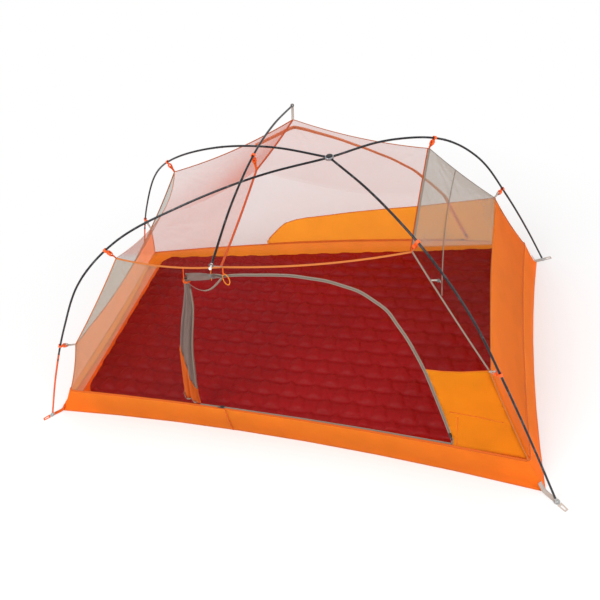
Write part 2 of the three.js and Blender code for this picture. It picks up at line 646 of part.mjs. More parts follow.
function addRoof() {
  const ridge = path([on(APEX, FRONT), on(RIDGE_CENTRE, FRONT), on(APEX, REAR)], [0, 0.5, 1]);
  const part = (side, a, b) => (t) => roofSeam(side)(a + (b - a) * t);
  const footEdge = endTop(FOOT_SHOULDER, FOOT_EDGE_SAG);
  const headEdge = endTop(HEAD_SHOULDER, HEAD_EDGE_SAG);
  const foot = coonsPatch(part(FRONT, 0, APEX_BREAK), part(REAR, 0, APEX_BREAK), footEdge, ridge);
  const head = coonsPatch(part(FRONT, APEX_BREAK, 1), part(REAR, APEX_BREAK, 1), ridge, headEdge);
  const point = (u, v) => (u < 0.5 ? foot(2 * u, v) : head(2 * u - 1, v));
  const us = steps([0, 0.5, 1], [4, 4], 0.004, 0.004);
  const vs = steps([0, 0.5, 1], [3, 3], 0.007, 0.007);
  const parts = [sheet(point, us, vs)];
  const up = new THREE.Vector3(0, 0, 1);
  const centre = on(RIDGE_CENTRE, FRONT);
  parts.push(...addClip("ridge_centre_clip", ridgePole, centre, centre.clone().addScaledVector(up, -0.4)));
  for (const [side, end, sign] of [[FRONT, 0, 1], [REAR, ridgePole.total, -1]]) {
    const f = poleFrame(ridgePole, end + sign * APEX_RING_AT);
    const ring = new THREE.Shape().absarc(0, 0, APEX_RING_R, 0, 2 * Math.PI);
    ring.holes.push(new THREE.Path().absarc(0, 0, APEX_HOLE_R, 0, 2 * Math.PI, true));
    const plate = new THREE.ExtrudeGeometry(ring, { depth: 2, bevelEnabled: false, curveSegments: 5 });
    plate.translate(0, 0, -1).applyMatrix4(basis(f.centre, f.along, up));
    const apexIn = roofSeam(side)(APEX_BREAK).lerp(on(RIDGE_CENTRE, side), 0.03);
    const plateFoot = f.centre.clone().addScaledVector(up, (APEX_HOLE_R + APEX_RING_R) / -2);
    parts.push(plate, strap(plateFoot, apexIn, new THREE.Vector3(1, 0, 0), APEX_STRAP_WIDTH, FABRIC));
  }
  addPiece("roof_mesh", joined(...parts), COLOUR.roof, 0.8);
}
addRoof();

// ---- Floor: a bathtub with a corner strap and a grommet plate for each pole tip ----
const TUB_WALL = 1.6;
const CORNER_ROUND = 0.008; // share of an edge cut off at each of its corners
const EDGE_POINTS = 8;

// One ring of the bathtub: its corners joined by bowed edges, moved inwards by an inset.
function tubOutline(corners, bow, inset) {
  const edges = [
    [corners.foot[FRONT], FRONT, corners.head[FRONT], FRONT, [0, FRONT * bow[FRONT], 0]],
    [corners.head[FRONT], FRONT, corners.head[REAR], REAR, [bow.end, 0, 0]],
    [corners.head[REAR], REAR, corners.foot[REAR], REAR, [0, REAR * bow[REAR], 0]],
    [corners.foot[REAR], REAR, corners.foot[FRONT], FRONT, [-bow.end, 0, 0]],
  ];
  const points = [];
  for (const [a, sideA, b, sideB, sag] of edges) {
    const line = path([on(a, sideA), on(b, sideB)], [0, 1], [sag]);
    for (let i = 0; i < EDGE_POINTS; i += 1) {
      points.push(line(CORNER_ROUND + ((1 - 2 * CORNER_ROUND) * i) / (EDGE_POINTS - 1)));
    }
  }
  return points.map((p, i) => {
    const before = new THREE.Vector3().subVectors(p, points.at(i - 1)).setZ(0).normalize();
    const after = new THREE.Vector3().subVectors(points[(i + 1) % points.length], p).setZ(0).normalize();
    const along = before.add(after).normalize();
    const inward = new THREE.Vector3(-along.y, along.x, 0);
    return p.clone().addScaledVector(inward, inset / along.dot(after));
  });
}

function trayGeometry() {
  const rings = [
    tubOutline(FLOOR_CORNERS, FLOOR_BOW, 0),
    tubOutline(TUB_CORNERS, TUB_BOW, 0),
    tubOutline(TUB_CORNERS, TUB_BOW, TUB_WALL),
    tubOutline(FLOOR_CORNERS, FLOOR_BOW, TUB_WALL).map((p) => p.setZ(TUB_WALL)),
  ];
  const count = rings[0].length;
  const positions = rings.flat().concat([new THREE.Vector3(0, 0, 0), new THREE.Vector3(0, 0, TUB_WALL)]);
  const under = 4 * count;
  const index = [];
  for (let i = 0; i < count; i += 1) {
    const j = (i + 1) % count;
    for (const ring of [0, 1]) {
      const a = ring * count;
      index.push(a + i, a + j, a + count + j, a + i, a + count + j, a + count + i);
    }
    const top = 2 * count;
    const foot = 3 * count;
    index.push(top + i, top + j, foot + i, top + j, foot + j, foot + i);
    index.push(under, j, i, 3 * count + i, 3 * count + j, under + 1);
  }
  const g = new THREE.BufferGeometry().setFromPoints(positions);
  g.setIndex(index);
  return g;
}

const LOOP_THICK = 2.4;
const LOOP_FROM = 12.5; // distance from the pole tip to the loop's hinged edge
const LOOP_LENGTH = 46;
const LOOP_WIDTH = 20;
const LOOP_BAND = 5;
const PLATE_HALF = 11;
const PLATE_BACK = -14;
const PLATE_HOLE_R = 6.5;
const CORNER_STRAP_WIDTH = 18;

// The corner strap with its grommet plate, and outside it the stake loop, which hinges on the plate's edge.
function cornerPieces(name, corner, tip, side) {
  const base = on(corner, side);
  const foot = on(tip, side).setZ(0);
  const out = new THREE.Vector3().subVectors(foot, base).normalize();
  const place = basis(foot, new THREE.Vector3(0, 0, 1), out);
  const plate = new THREE.Shape();
  plate.moveTo(-PLATE_HALF, PLATE_BACK);
  plate.lineTo(PLATE_HALF, PLATE_BACK);
  plate.lineTo(PLATE_HALF, LOOP_FROM - 0.5);
  plate.lineTo(-PLATE_HALF, LOOP_FROM - 0.5);
  plate.holes.push(new THREE.Path().absarc(0, 0, PLATE_HOLE_R, 0, 2 * Math.PI, true));
  const plateSolid = new THREE.ExtrudeGeometry(plate, { depth: 2, bevelEnabled: false, curveSegments: 4 })
    .translate(0, 0, 0.4).applyMatrix4(place);
  const strapFrom = base.clone().addScaledVector(out, -26).setZ(1);
  const strapTo = foot.clone().addScaledVector(out, -10).setZ(1.4);
  const across = new THREE.Vector3(-out.y, out.x, 0);
  const strapSolid = strap(strapFrom, strapTo, across, CORNER_STRAP_WIDTH, TUB_WALL);
  const half = LOOP_WIDTH / 2;
  const loop = new THREE.Shape();
  loop.moveTo(-half, LOOP_FROM);
  loop.lineTo(half, LOOP_FROM);
  loop.lineTo(half - 2, LOOP_LENGTH);
  loop.lineTo(-half + 2, LOOP_LENGTH);
  const eye = new THREE.Path();
  eye.moveTo(LOOP_BAND - half, LOOP_FROM + 7.5);
  eye.lineTo(LOOP_BAND + 1 - half, LOOP_LENGTH - LOOP_BAND);
  eye.lineTo(half - LOOP_BAND - 1, LOOP_LENGTH - LOOP_BAND);
  eye.lineTo(half - LOOP_BAND, LOOP_FROM + 7.5);
  loop.holes.push(eye);
  const loopSolid = new THREE.ExtrudeGeometry(loop, { depth: LOOP_THICK, bevelEnabled: false })
    .translate(0, 0, 0.3).applyMatrix4(place);
  addPiece(`${name}_stake_loop`, facingOut(loopSolid), COLOUR.webbing, 0.8);
  return [plateSolid, strapSolid];
}

function addFloor() {
  const straps = [];
  for (const [place, side] of [["front", FRONT], ["rear", REAR]]) {
    straps.push(...cornerPieces(`${place}_head`, FLOOR_CORNERS.head[side], HEAD_TIP, side));
    straps.push(...cornerPieces(`${place}_foot`, FLOOR_CORNERS.foot[side], FOOT_TIP, side));
  }
  addPiece("bathtub_floor", joined(trayGeometry(), ...straps), COLOUR.floor, 0.6);
}
addFloor();

// ---- Quilted pad: a hollow skin that is filled through the hole under its valve ----
const PAD_CORNERS = [[-985, -487], [1040, -570], [1040, 660], [-985, 538]];
const PAD_ROUND = 70;
const PAD_BASE = 3;
const PAD_HEIGHT = 125;
const PAD_EDGE = 24;
const PAD_SKIN = 3;
const VALVE_AT = [940, 520];
const VALVE_R = 16;
const VALVE_HOLE_R = 9;

// The pad's block, with its faces moved inwards by an inset.
function padBlock(inset) {
  const corners = PAD_CORNERS.map(([x, y]) => new THREE.Vector2(x, y));
  const shape = new THREE.Shape();
  corners.forEach((corner, i) => {
    const before = corners[(i + 3) % 4];
    const after = corners[(i + 1) % 4];
    const start = corner.clone().add(before.clone().sub(corner).setLength(PAD_ROUND));
    const end = corner.clone().add(after.clone().sub(corner).setLength(PAD_ROUND));
    if (i) shape.lineTo(start.x, start.y);
    else shape.moveTo(start.x, start.y);
    shape.quadraticCurveTo(corner.x, corner.y, end.x, end.y);
  });
  shape.closePath();
  const options = { depth: PAD_HEIGHT - 2 * PAD_EDGE, bevelEnabled: true, bevelThickness: PAD_EDGE - inset,
    bevelSize: PAD_EDGE - inset, bevelOffset: -PAD_EDGE, bevelSegments: 2, curveSegments: 4 };
  return new THREE.ExtrudeGeometry(shape, options).translate(0, 0, PAD_BASE + PAD_EDGE);
}

function addPad() {
  const top = PAD_BASE + PAD_HEIGHT;
  const hole = turned([[0, -20], [VALVE_HOLE_R, -20], [VALVE_HOLE_R, 10], [0, 10]], 10);
  const inside = joined(padBlock(PAD_SKIN), hole.translate(...VALVE_AT, top));
  addPiece("quilted_pad", cut(padBlock(0), inside), COLOUR.pad, 0.55);
  const valve = turned([[0, 0], [VALVE_R, 0], [VALVE_R, 4], [VALVE_R - 5, 7], [0, 7]], 10);
  valve.translate(...VALVE_AT, top + SECTION_GAP);
  addPiece("pad_valve", facingOut(valve), COLOUR.valve, 0.5);
}
addPad();

// ---- Zip sliders, each with its pull ----
const SLIDER = { length: 18, width: 9, height: 8 };
const PULL = { length: 26, width: 4, height: 1.6 };
const POST = { width: 3, height: 4 };

// along runs up the zip, outwards away from the cabin.
function addSlider(name, at, along, outwards) {
  const body = new THREE.BoxGeometry(SLIDER.width, SLIDER.height, SLIDER.length);
  const pull = new THREE.BoxGeometry(PULL.width, PULL.height, PULL.length);
  pull.translate(0, SLIDER.height / 2 + PULL.height, -10);
  const post = new THREE.BoxGeometry(POST.width, POST.height, POST.width);
  post.translate(0, SLIDER.height / 2 + 0.5, 0);
  const g = joined(body, pull, post).applyMatrix4(basis(at, along, outwards));
  addPiece(name, g, COLOUR.cap, 0.4, 0.5);
}

const SIDE_SLIDER_FROM = 26; // distance of the side zip's lowest slider place above the doorway's corner
const SILL_SLIDER_FROM = [105, 32]; // distances from the sill's two ends

// Each doorway's zip runs down its head side and along its sill; each run has a slider of its own.
for (const [place, side] of [["front", FRONT], ["rear", REAR]]) {
  const arch = new THREE.Vector2(...DOOR_ARCH[DOOR_ARCH.length - 1]);
  const low = new THREE.Vector2(...DOOR_SIDE_FOOT);
  const run = new THREE.Vector2().subVectors(arch, low).normalize();
  const inwards = new THREE.Vector2(-run.y, run.x);
  const lowAt = low.clone().addScaledVector(inwards, ZIP_SLOT / 2).addScaledVector(run, SIDE_SLIDER_FROM);
  const highAt = arch.clone().addScaledVector(inwards, ZIP_SLOT / 2).addScaledVector(run, -10);
  const outwards = new THREE.Vector3(0, side, 0);
  const foot = wallPoint(side, lowAt.x, lowAt.y);
  const head = wallPoint(side, highAt.x, highAt.y);
  const alongSide = new THREE.Vector3().subVectors(head, foot).normalize();
  addSlider(`${place}_side_zip_slider`, foot, alongSide, outwards);
  const sillZ = DOOR_HINGE_FOOT[1] + ZIP_SLOT / 2;
  const sillFoot = wallPoint(side, DOOR_HINGE_FOOT[0] + SILL_SLIDER_FROM[0], sillZ);
  const sillHead = wallPoint(side, DOOR_HEAD_CORNER[0] - SILL_SLIDER_FROM[1], sillZ);
  const alongSill = new THREE.Vector3().subVectors(sillHead, sillFoot).normalize();
  addSlider(`${place}_sill_zip_slider`, side === FRONT ? sillFoot : sillHead, alongSill, outwards);
}

// ---- Small cord pieces ----
function ringLoop(width, length, cord, depth) {
  const s = new THREE.Shape();
  s.absellipse(0, -length / 2, width / 2, length / 2, 0, 2 * Math.PI);
  const hole = new THREE.Path();
  hole.absellipse(0, -length / 2, width / 2 - cord, length / 2 - cord, 0, 2 * Math.PI, true);
  s.holes.push(hole);
  const g = new THREE.ExtrudeGeometry(s, { depth, bevelEnabled: false, curveSegments: 7 });
  return g.translate(0, 0, -depth / 2);
}

const GEAR_LOOP_AT = [36, -512, 957];
const gearLoop = ringLoop(26, 54, 3, 3).rotateX(Math.PI / 2).translate(...GEAR_LOOP_AT);
addPiece("gear_loop", facingOut(gearLoop), COLOUR.cord, 0.8);

// The toggle on the tie cord of the rolled door, below the front roof seam.
const TOGGLE_R = 7;
const TOGGLE_AT = [-20, -512, 944];
const toggle = new THREE.SphereGeometry(TOGGLE_R, 10, 8).translate(...TOGGLE_AT);
addPiece("door_tie_toggle", facingOut(toggle), COLOUR.poleTip, 0.4);

// The cord lock on the small tie strap at the head end's front edge.
const TIE_FROM = new THREE.Vector3(719, -372, 821);
const TIE_TO = new THREE.Vector3(747, -340, 782);
const TIE_NORMAL = new THREE.Vector3(0.82, -0.05, 0.57);
const BEAD_AT = 0.45; // share of the strap's length
const BEAD_LIFT = 9;
const tieAxis = new THREE.Vector3().subVectors(TIE_TO, TIE_FROM).normalize();
const beadAt = lerp(TIE_FROM, TIE_TO, BEAD_AT).addScaledVector(TIE_NORMAL, BEAD_LIFT);
const bead = turned([[3.4, -6], [5.5, -6], [6.5, -3], [6.5, 3], [5.5, 6], [3.4, 6], [3.4, -6]], 10);
bead.applyMatrix4(basis(beadAt, tieAxis, TIE_NORMAL));
addPiece("side_tie_bead", facingOut(bead), COLOUR.cap, 0.5);

export default root;
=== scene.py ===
import json
import math

import bpy
import numpy as np
from mathutils import Matrix, Vector
from mathutils.geometry import delaunay_2d_cdt


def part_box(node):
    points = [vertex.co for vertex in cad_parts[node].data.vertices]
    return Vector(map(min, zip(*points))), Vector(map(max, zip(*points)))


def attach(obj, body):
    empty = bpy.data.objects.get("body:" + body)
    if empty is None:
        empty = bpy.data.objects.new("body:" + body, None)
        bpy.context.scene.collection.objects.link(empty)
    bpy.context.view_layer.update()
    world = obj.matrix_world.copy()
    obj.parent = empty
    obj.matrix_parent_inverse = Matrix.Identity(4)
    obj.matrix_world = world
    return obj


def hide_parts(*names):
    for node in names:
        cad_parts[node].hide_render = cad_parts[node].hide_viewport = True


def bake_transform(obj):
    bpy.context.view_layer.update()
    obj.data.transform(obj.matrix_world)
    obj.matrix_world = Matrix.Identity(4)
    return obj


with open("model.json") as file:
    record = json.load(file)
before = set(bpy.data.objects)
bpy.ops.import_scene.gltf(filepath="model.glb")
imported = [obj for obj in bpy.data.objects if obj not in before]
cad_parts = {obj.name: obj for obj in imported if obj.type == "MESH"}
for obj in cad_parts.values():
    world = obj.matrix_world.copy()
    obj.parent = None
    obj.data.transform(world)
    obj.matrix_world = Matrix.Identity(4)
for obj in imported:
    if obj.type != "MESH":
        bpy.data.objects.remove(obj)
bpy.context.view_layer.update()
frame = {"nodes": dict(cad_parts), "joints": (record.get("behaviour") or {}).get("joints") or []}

scene = bpy.context.scene
rng = np.random.default_rng(7)
UP = np.array([0.0, 0.0, 1.0])
SIDES = {"front": -1.0, "rear": 1.0}
ENDS = ("head", "foot")


# ---------------------------------------------------------------- reading the frame

def points_of(node):
    mesh = frame["nodes"][node].data
    co = np.empty(len(mesh.vertices) * 3)
    mesh.vertices.foreach_get("co", co)
    return np.unique(np.round(co.reshape(-1, 3), 6), axis=0)


def snap(node, rough):
    pts = points_of(node)
    return pts[np.argmin(np.linalg.norm(pts - np.array(rough), axis=1))]


JOINTS = {j["name"]: j for j in frame["joints"]}


def joint_pos(name):
    return np.array(JOINTS[name]["pos_m"], float)


def joint_axis(name):
    a = np.array(JOINTS[name]["axis"], float)
    return a / np.linalg.norm(a)


def unit(v):
    v = np.asarray(v, float)
    return v / np.maximum(np.linalg.norm(v, axis=-1, keepdims=True), 1e-12)


# ---------------------------------------------------------------- shader graphs

class Graph:
    """A material's node tree, with short calls for the nodes used here."""

    def __init__(self, name):
        self.material = bpy.data.materials.new(name)
        self.material.use_nodes = True
        self.tree = self.material.node_tree
        self.tree.nodes.clear()
        self.out = self.tree.nodes.new("ShaderNodeOutputMaterial")

    def node(self, kind, inputs=None, **settings):
        n = self.tree.nodes.new(kind)
        for key, value in settings.items():
            setattr(n, key, value)
        for key, value in (inputs or {}).items():
            self.put(n.inputs[key], value)
        return n

    def put(self, socket, value):
        if isinstance(value, bpy.types.NodeSocket):
            self.tree.links.new(value, socket)
        elif isinstance(value, (tuple, list)) and len(value) == 3 and len(socket.default_value) == 4:
            socket.default_value = (*value, 1.0)
        else:
            socket.default_value = value

    def math(self, operation, a, b=0.0, clamp=False):
        n = self.node("ShaderNodeMath", operation=operation, use_clamp=clamp)
        self.put(n.inputs[0], a)
        self.put(n.inputs[1], b)
        return n.outputs[0]

    def coords(self, kind="Object"):
        return self.node("ShaderNodeTexCoord").outputs[kind]

    def noise(self, scale, detail=3.0, vector=None, roughness=0.5):
        n = self.node("ShaderNodeTexNoise", {"Scale": scale, "Detail": detail, "Roughness": roughness})
        self.put(n.inputs["Vector"], vector if vector is not None else self.coords())
        return n.outputs["Fac"]

    def ramp(self, value, low, high, out_low=0.0, out_high=1.0):
        n = self.node("ShaderNodeMapRange", {"Value": value, "From Min": low, "From Max": high, "To Min": out_low,
                                             "To Max": out_high})
        return n.outputs["Result"]

    def mix(self, factor, a, b, blend="MIX"):
        n = self.node("ShaderNodeMix", data_type="RGBA", blend_type=blend)
        self.put(n.inputs[0], factor)
        self.put(n.inputs[6], a)
        self.put(n.inputs[7], b)
        return n.outputs[2]

    def wave(self, scale, axis, vector=None, distortion=0.0, profile="SIN"):
        n = self.node("ShaderNodeTexWave", {"Scale": scale, "Distortion": distortion}, wave_type="BANDS",
                      bands_direction=axis, wave_profile=profile)
        self.put(n.inputs["Vector"], vector if vector is not None else self.coords("UV"))
        return n.outputs["Fac"]

    def bump(self, height, strength, distance, normal=None):
        n = self.node("ShaderNodeBump", {"Height": height, "Strength": strength, "Distance": distance})
        if normal is not None:
            self.put(n.inputs["Normal"], normal)
        return n.outputs["Normal"]

    def principled(self, **inputs):
        named = {key.replace("_", " "): value for key, value in inputs.items()}
        return self.node("ShaderNodeBsdfPrincipled", named).outputs[0]

    def mix_shader(self, factor, a, b):
        n = self.node("ShaderNodeMixShader")
        self.put(n.inputs[0], factor)
        self.put(n.inputs[1], a)
        self.put(n.inputs[2], b)
        return n.outputs[0]

    def done(self, shader):
        self.tree.links.new(shader, self.out.inputs["Surface"])
        return self.material


def linear(r, g, b):
    """Linear colour of an 8-bit sRGB one."""
    return tuple(c / 12.92 if c <= 0.04045 else ((c + 0.055) / 1.055) ** 2.4 for c in (r / 255, g / 255, b / 255))


def shade(colour, factor):
    return tuple(min(1.0, c * factor) for c in colour)


def netting(name, thread, coverage, spread=0.05, veil=None, least=0.3, power=1.0):
    """Knitted mosquito netting: thread over clear holes, denser where it is seen at a slant. A veil is a direction,
    two places along it, and the thread and coverage beyond the second place."""
    g = Graph(name)
    uv = g.coords("UV")
    geometry = g.node("ShaderNodeNewGeometry")
    dot = g.node("ShaderNodeVectorMath", operation="DOT_PRODUCT")
    g.put(dot.inputs[0], geometry.outputs["True Normal"])
    g.put(dot.inputs[1], geometry.outputs["Incoming"])
    slant = g.math("DIVIDE", 1.0, g.math("MAXIMUM", g.math("ABSOLUTE", dot.outputs["Value"]), least))
    slant = g.math("POWER", slant, power)
    open_share = 1.0 - coverage
    if veil:
        direction, near, far, veil_thread, veil_coverage = veil
        along = g.node("ShaderNodeVectorMath", {0: g.coords(), 1: direction}, operation="DOT_PRODUCT").outputs["Value"]
        share = g.ramp(along, near, far)
        open_share = g.ramp(along, near, far, 1.0 - coverage, 1.0 - veil_coverage)
    base = g.math("SUBTRACT", 1.0, g.math("POWER", open_share, slant))
    cells = g.node("ShaderNodeTexVoronoi", {"Scale": 620.0, "Randomness": 0.25, "Vector": uv},
                   feature="DISTANCE_TO_EDGE")
    thread_mask = g.ramp(cells.outputs["Distance"], 0.10, 0.22, 1.35, 0.75)
    tone = g.noise(6.0, 2.0)
    uneven = g.ramp(tone, 0.3, 0.7, 1.0 - spread, 1.0 + spread)
    factor = g.math("MULTIPLY", g.math("MULTIPLY", base, thread_mask), uneven, clamp=True)
    colour = g.mix(g.ramp(g.noise(900.0, 1.0), 0.35, 0.65), shade(thread, 0.86), shade(thread, 1.12))
    if veil:
        colour = g.mix(share, colour, veil_thread)
    cloth = g.principled(Base_Color=colour, Roughness=0.8, Specular_IOR_Level=0.1)
    glow = g.node("ShaderNodeBsdfTranslucent", {"Color": colour}).outputs[0]
    body = g.mix_shader(0.35, cloth, glow)
    clear = g.node("ShaderNodeBsdfTransparent").outputs[0]
    return g.done(g.mix_shader(factor, clear, body))


def nylon(name, colour, translucency=0.35, sheen=0.03, crinkle=0.5, clear=0.0, glow=1.3):
    """Light coated ripstop nylon: a fine weave, a grid of thicker threads, soft crinkles and light through it."""
    g = Graph(name)
    uv = g.coords("UV")
    weave = g.math("MULTIPLY", g.wave(420.0, "X", uv), g.wave(420.0, "Y", uv))
    rip = g.math("MAXIMUM", g.ramp(g.wave(31.0, "X", uv), 0.94, 1.0), g.ramp(g.wave(31.0, "Y", uv), 0.94, 1.0))
    soft = g.noise(9.0, 4.0)
    fine = g.noise(60.0, 3.0)
    tint = g.mix(g.ramp(soft, 0.25, 0.75), shade(colour, 0.93), shade(colour, 1.06))
    tint = g.mix(g.math("MULTIPLY", rip, 0.10), tint, shade(colour, 0.72))
    tint = g.mix(g.math("MULTIPLY", g.ramp(fine, 0.4, 0.8), 0.08), tint, shade(colour, 1.25))
    height = g.math("ADD", g.math("MULTIPLY", weave, 0.04), g.math("MULTIPLY", rip, 0.10))
    height = g.math("ADD", height, g.math("MULTIPLY", fine, 0.5))
    height = g.math("ADD", height, g.math("MULTIPLY", soft, 1.5))
    normal = g.bump(height, crinkle, 0.004)
    cloth = g.principled(Base_Color=tint, Roughness=g.ramp(fine, 0.3, 0.7, 0.48, 0.62), Sheen_Weight=sheen,
                         Sheen_Roughness=0.4, Normal=normal, Specular_IOR_Level=0.1)
    half_way = g.node("ShaderNodeGamma", {"Color": tint, "Gamma": 0.5}).outputs[0]
    passed = g.node("ShaderNodeVectorMath", {0: half_way, "Scale": glow}, operation="SCALE").outputs["Vector"]
    through = g.node("ShaderNodeBsdfTranslucent", {"Color": passed, "Normal": normal})
    shader = g.mix_shader(translucency, cloth, through.outputs[0])
    if clear:
        shader = g.mix_shader(1.0 - clear, g.node("ShaderNodeBsdfTransparent").outputs[0], shader)
    return g.done(shader)


def webbing(name, colour, roughness=0.8, pitch=260.0):
    """Woven tape: ribs across its length, darker along the ribs."""
    g = Graph(name)
    uv = g.coords("UV")
    ribs = g.wave(pitch, "X", uv)
    cross = g.wave(pitch * 1.6, "Y", uv)
    tint = g.mix(g.math("MULTIPLY", ribs, 0.35), colour, shade(colour, 0.66))
    tint = g.mix(g.math("MULTIPLY", g.noise(45.0), 0.25), tint, shade(colour, 1.18))
    height = g.math("ADD", ribs, g.math("MULTIPLY", cross, 0.5))
    return g.done(g.principled(Base_Color=tint, Roughness=roughness, Specular_IOR_Level=0.2,
                               Normal=g.bump(height, 0.5, 0.0004)))


def anodised(name, colour, roughness=0.24):
    """Drawn and anodised tube: fine streaks along it and a little wear."""
    g = Graph(name)
    streak = g.noise(1400.0, 2.0)
    wear = g.noise(38.0, 5.0)
    tint = g.mix(g.ramp(wear, 0.56, 0.72), colour, shade(tuple(c + 0.05 for c in colour), 1.5))
    rough = g.math("ADD", g.ramp(streak, 0.3, 0.7, roughness - 0.05, roughness + 0.08), g.ramp(wear, 0.5, 0.8, 0.0, 0.1))
    return g.done(g.principled(Base_Color=tint, Metallic=0.85, Roughness=rough, Coat_Weight=0.3, Coat_Roughness=0.15,
                               Normal=g.bump(streak, 0.08, 0.0002)))


def bare_metal(name, colour, roughness=0.3):
    g = Graph(name)
    grain = g.noise(500.0, 4.0)
    scuff = g.noise(90.0, 6.0)
    tint = g.mix(g.ramp(scuff, 0.5, 0.75), colour, shade(colour, 0.6))
    return g.done(g.principled(Base_Color=tint, Metallic=1.0, Roughness=g.ramp(scuff, 0.3, 0.8, roughness, roughness + 0.2),
                               Normal=g.bump(grain, 0.12, 0.0002)))


def plastic(name, colour, roughness=0.42):
    """Moulded plastic: a fine spark-eroded texture, softer on worn edges."""
    g = Graph(name)
    grain = g.noise(1100.0, 2.0)
    wear = g.noise(120.0, 4.0)
    tint = g.mix(g.ramp(wear, 0.45, 0.8), colour, shade(tuple(c + 0.02 for c in colour), 1.25))
    return g.done(g.principled(Base_Color=tint, Roughness=g.ramp(wear, 0.3, 0.7, roughness - 0.06, roughness + 0.08),
                               Normal=g.bump(grain, 0.15, 0.0002), Subsurface_Weight=0.0))


def quilt_fabric(name, colour):
    """The pad's satin-faced laminate: fine weave, soft creases round each weld, a painted highlight along the creases
    and a sheen on the puffs.
    """
    g = Graph(name)
    weave = g.math("MULTIPLY", g.wave(500.0, "X", g.coords()), g.wave(500.0, "Y", g.coords()))
    crease = g.noise(70.0, 5.0, roughness=0.6)
    broad = g.noise(3.0, 2.0)
    tint = g.mix(g.ramp(broad, 0.3, 0.7), shade(colour, 0.92), shade(colour, 1.08))
    # painted highlight: the tint is lightened where the crease noise is high, as if the creases caught the light
    tint = g.mix(g.math("MULTIPLY", g.ramp(crease, 0.55, 0.8), 0.10), tint, shade(colour, 1.5))
    height = g.math("ADD", g.math("MULTIPLY", weave, 0.03), crease)
    return g.done(g.principled(Base_Color=tint, Roughness=g.ramp(crease, 0.3, 0.7, 0.46, 0.6), Sheen_Weight=0.03,
                               Sheen_Roughness=0.35, Sheen_Tint=(0.9, 0.2, 0.2), Specular_IOR_Level=0.16,
                               Normal=g.bump(height, 0.14, 0.003)))


def braid(name, colour):
    g = Graph(name)
    twist = g.node("ShaderNodeTexWave", {"Scale": 300.0, "Distortion": 1.5, "Vector": g.coords()},
                   wave_type="BANDS", bands_direction="DIAGONAL").outputs["Fac"]
    tint = g.mix(twist, shade(colour, 0.75), shade(colour, 1.15))
    return g.done(g.principled(Base_Color=tint, Roughness=0.8, Normal=g.bump(twist, 0.5, 0.0005)))


MATERIALS = {
    "roof_net": netting("roof_netting_look", linear(224, 108, 72), 0.125, least=0.2, power=1.25,
                        veil=((0.04, -0.64, -0.77), -0.490, -0.470, linear(170, 70, 50), 0.04)),
    "wall_net": netting("wall_netting_look", linear(60, 44, 40), 0.075),
    "front_net": netting("front_netting_look", linear(60, 44, 40), 0.075, 0.05,
                         ((-1.0, 0.0, 0.887), 1.080, 1.090, linear(176, 158, 134), 0.30)),
    "foot_net": netting("foot_netting_look", linear(150, 140, 116), 0.16),
    "head_net": netting("head_netting_look", linear(60, 46, 42), 0.10, 0.05,
                        ((-0.04, 0.64, 0.77), 0.478, 0.486, linear(176, 162, 146), 0.31)),
    "door_net": netting("door_netting_look", linear(150, 128, 120), 0.72),
    "tub": nylon("tub_nylon_look", linear(240, 150, 48), 0.62),
    "panel": nylon("panel_nylon_look", linear(231, 151, 26), 0.56),
    # painted light: the rear wall's panel is a lighter, more translucent copy of the panel nylon, so its inner face
    # shows brighter than the lamps make it
    "swoosh_painted_light": nylon("swoosh_painted_light_nylon_look", linear(252, 172, 40), 0.66),
    # painted shade: the rolled door's panel is a darker, less translucent copy of the panel nylon
    "bundle_painted_shade_panel": nylon("bundle_painted_shade_nylon_look", linear(222, 104, 30), 0.4, glow=1.0),
    # painted shade: the head end's panel is a darker copy of the panel nylon, for the shade on that end
    "head_panel": nylon("head_panel_painted_shade_nylon_look", linear(228, 130, 26), 0.56),
    # painted light: the foot end's panel is a paler copy of the panel nylon, for the light shining through it; it is
    # also partly clear
    "foot_panel": nylon("foot_panel_painted_light_nylon_look", linear(246, 140, 80), 0.62, clear=0.22),
    "tape": webbing("seam_tape_look", linear(206, 118, 58)),
    "tan_tape": nylon("tan_tape_look", linear(232, 160, 120), 0.6),
    "tub_tape": webbing("tub_tape_look", linear(214, 98, 30)),
    "panel_tape": webbing("panel_tape_look", linear(226, 112, 22)),
    "ridge_tape": webbing("ridge_tape_look", linear(204, 86, 44)),
    "grey_tape": webbing("grey_tape_look", linear(150, 134, 120)),
    "zip": webbing("zip_coil_look", linear(120, 110, 100), 0.5, 900.0),
    "webbing": webbing("webbing_look", linear(236, 98, 30)),
    "light_webbing": webbing("light_webbing_look", linear(196, 182, 172)),
    "pole": anodised("pole_look", linear(44, 45, 48)),
    "orange_pole": anodised("orange_pole_look", linear(232, 96, 30), 0.3),
    "metal": bare_metal("metal_look", linear(200, 200, 198)),
    "hub": bare_metal("hub_look", linear(165, 167, 170)),
    "clip": plastic("clip_look", linear(246, 92, 8)),
    "black": plastic("black_plastic_look", linear(30, 30, 32)),
    "grey_plastic": plastic("grey_plastic_look", linear(96, 92, 90)),
    "white": plastic("white_plastic_look", linear(232, 232, 228), 0.3),
    "cord": braid("cord_look", linear(240, 140, 24)),
    "shock": braid("shock_cord_look", linear(60, 62, 66)),
    "pad": quilt_fabric("pad_look", linear(140, 8, 12)),
}


# ---------------------------------------------------------------- meshes

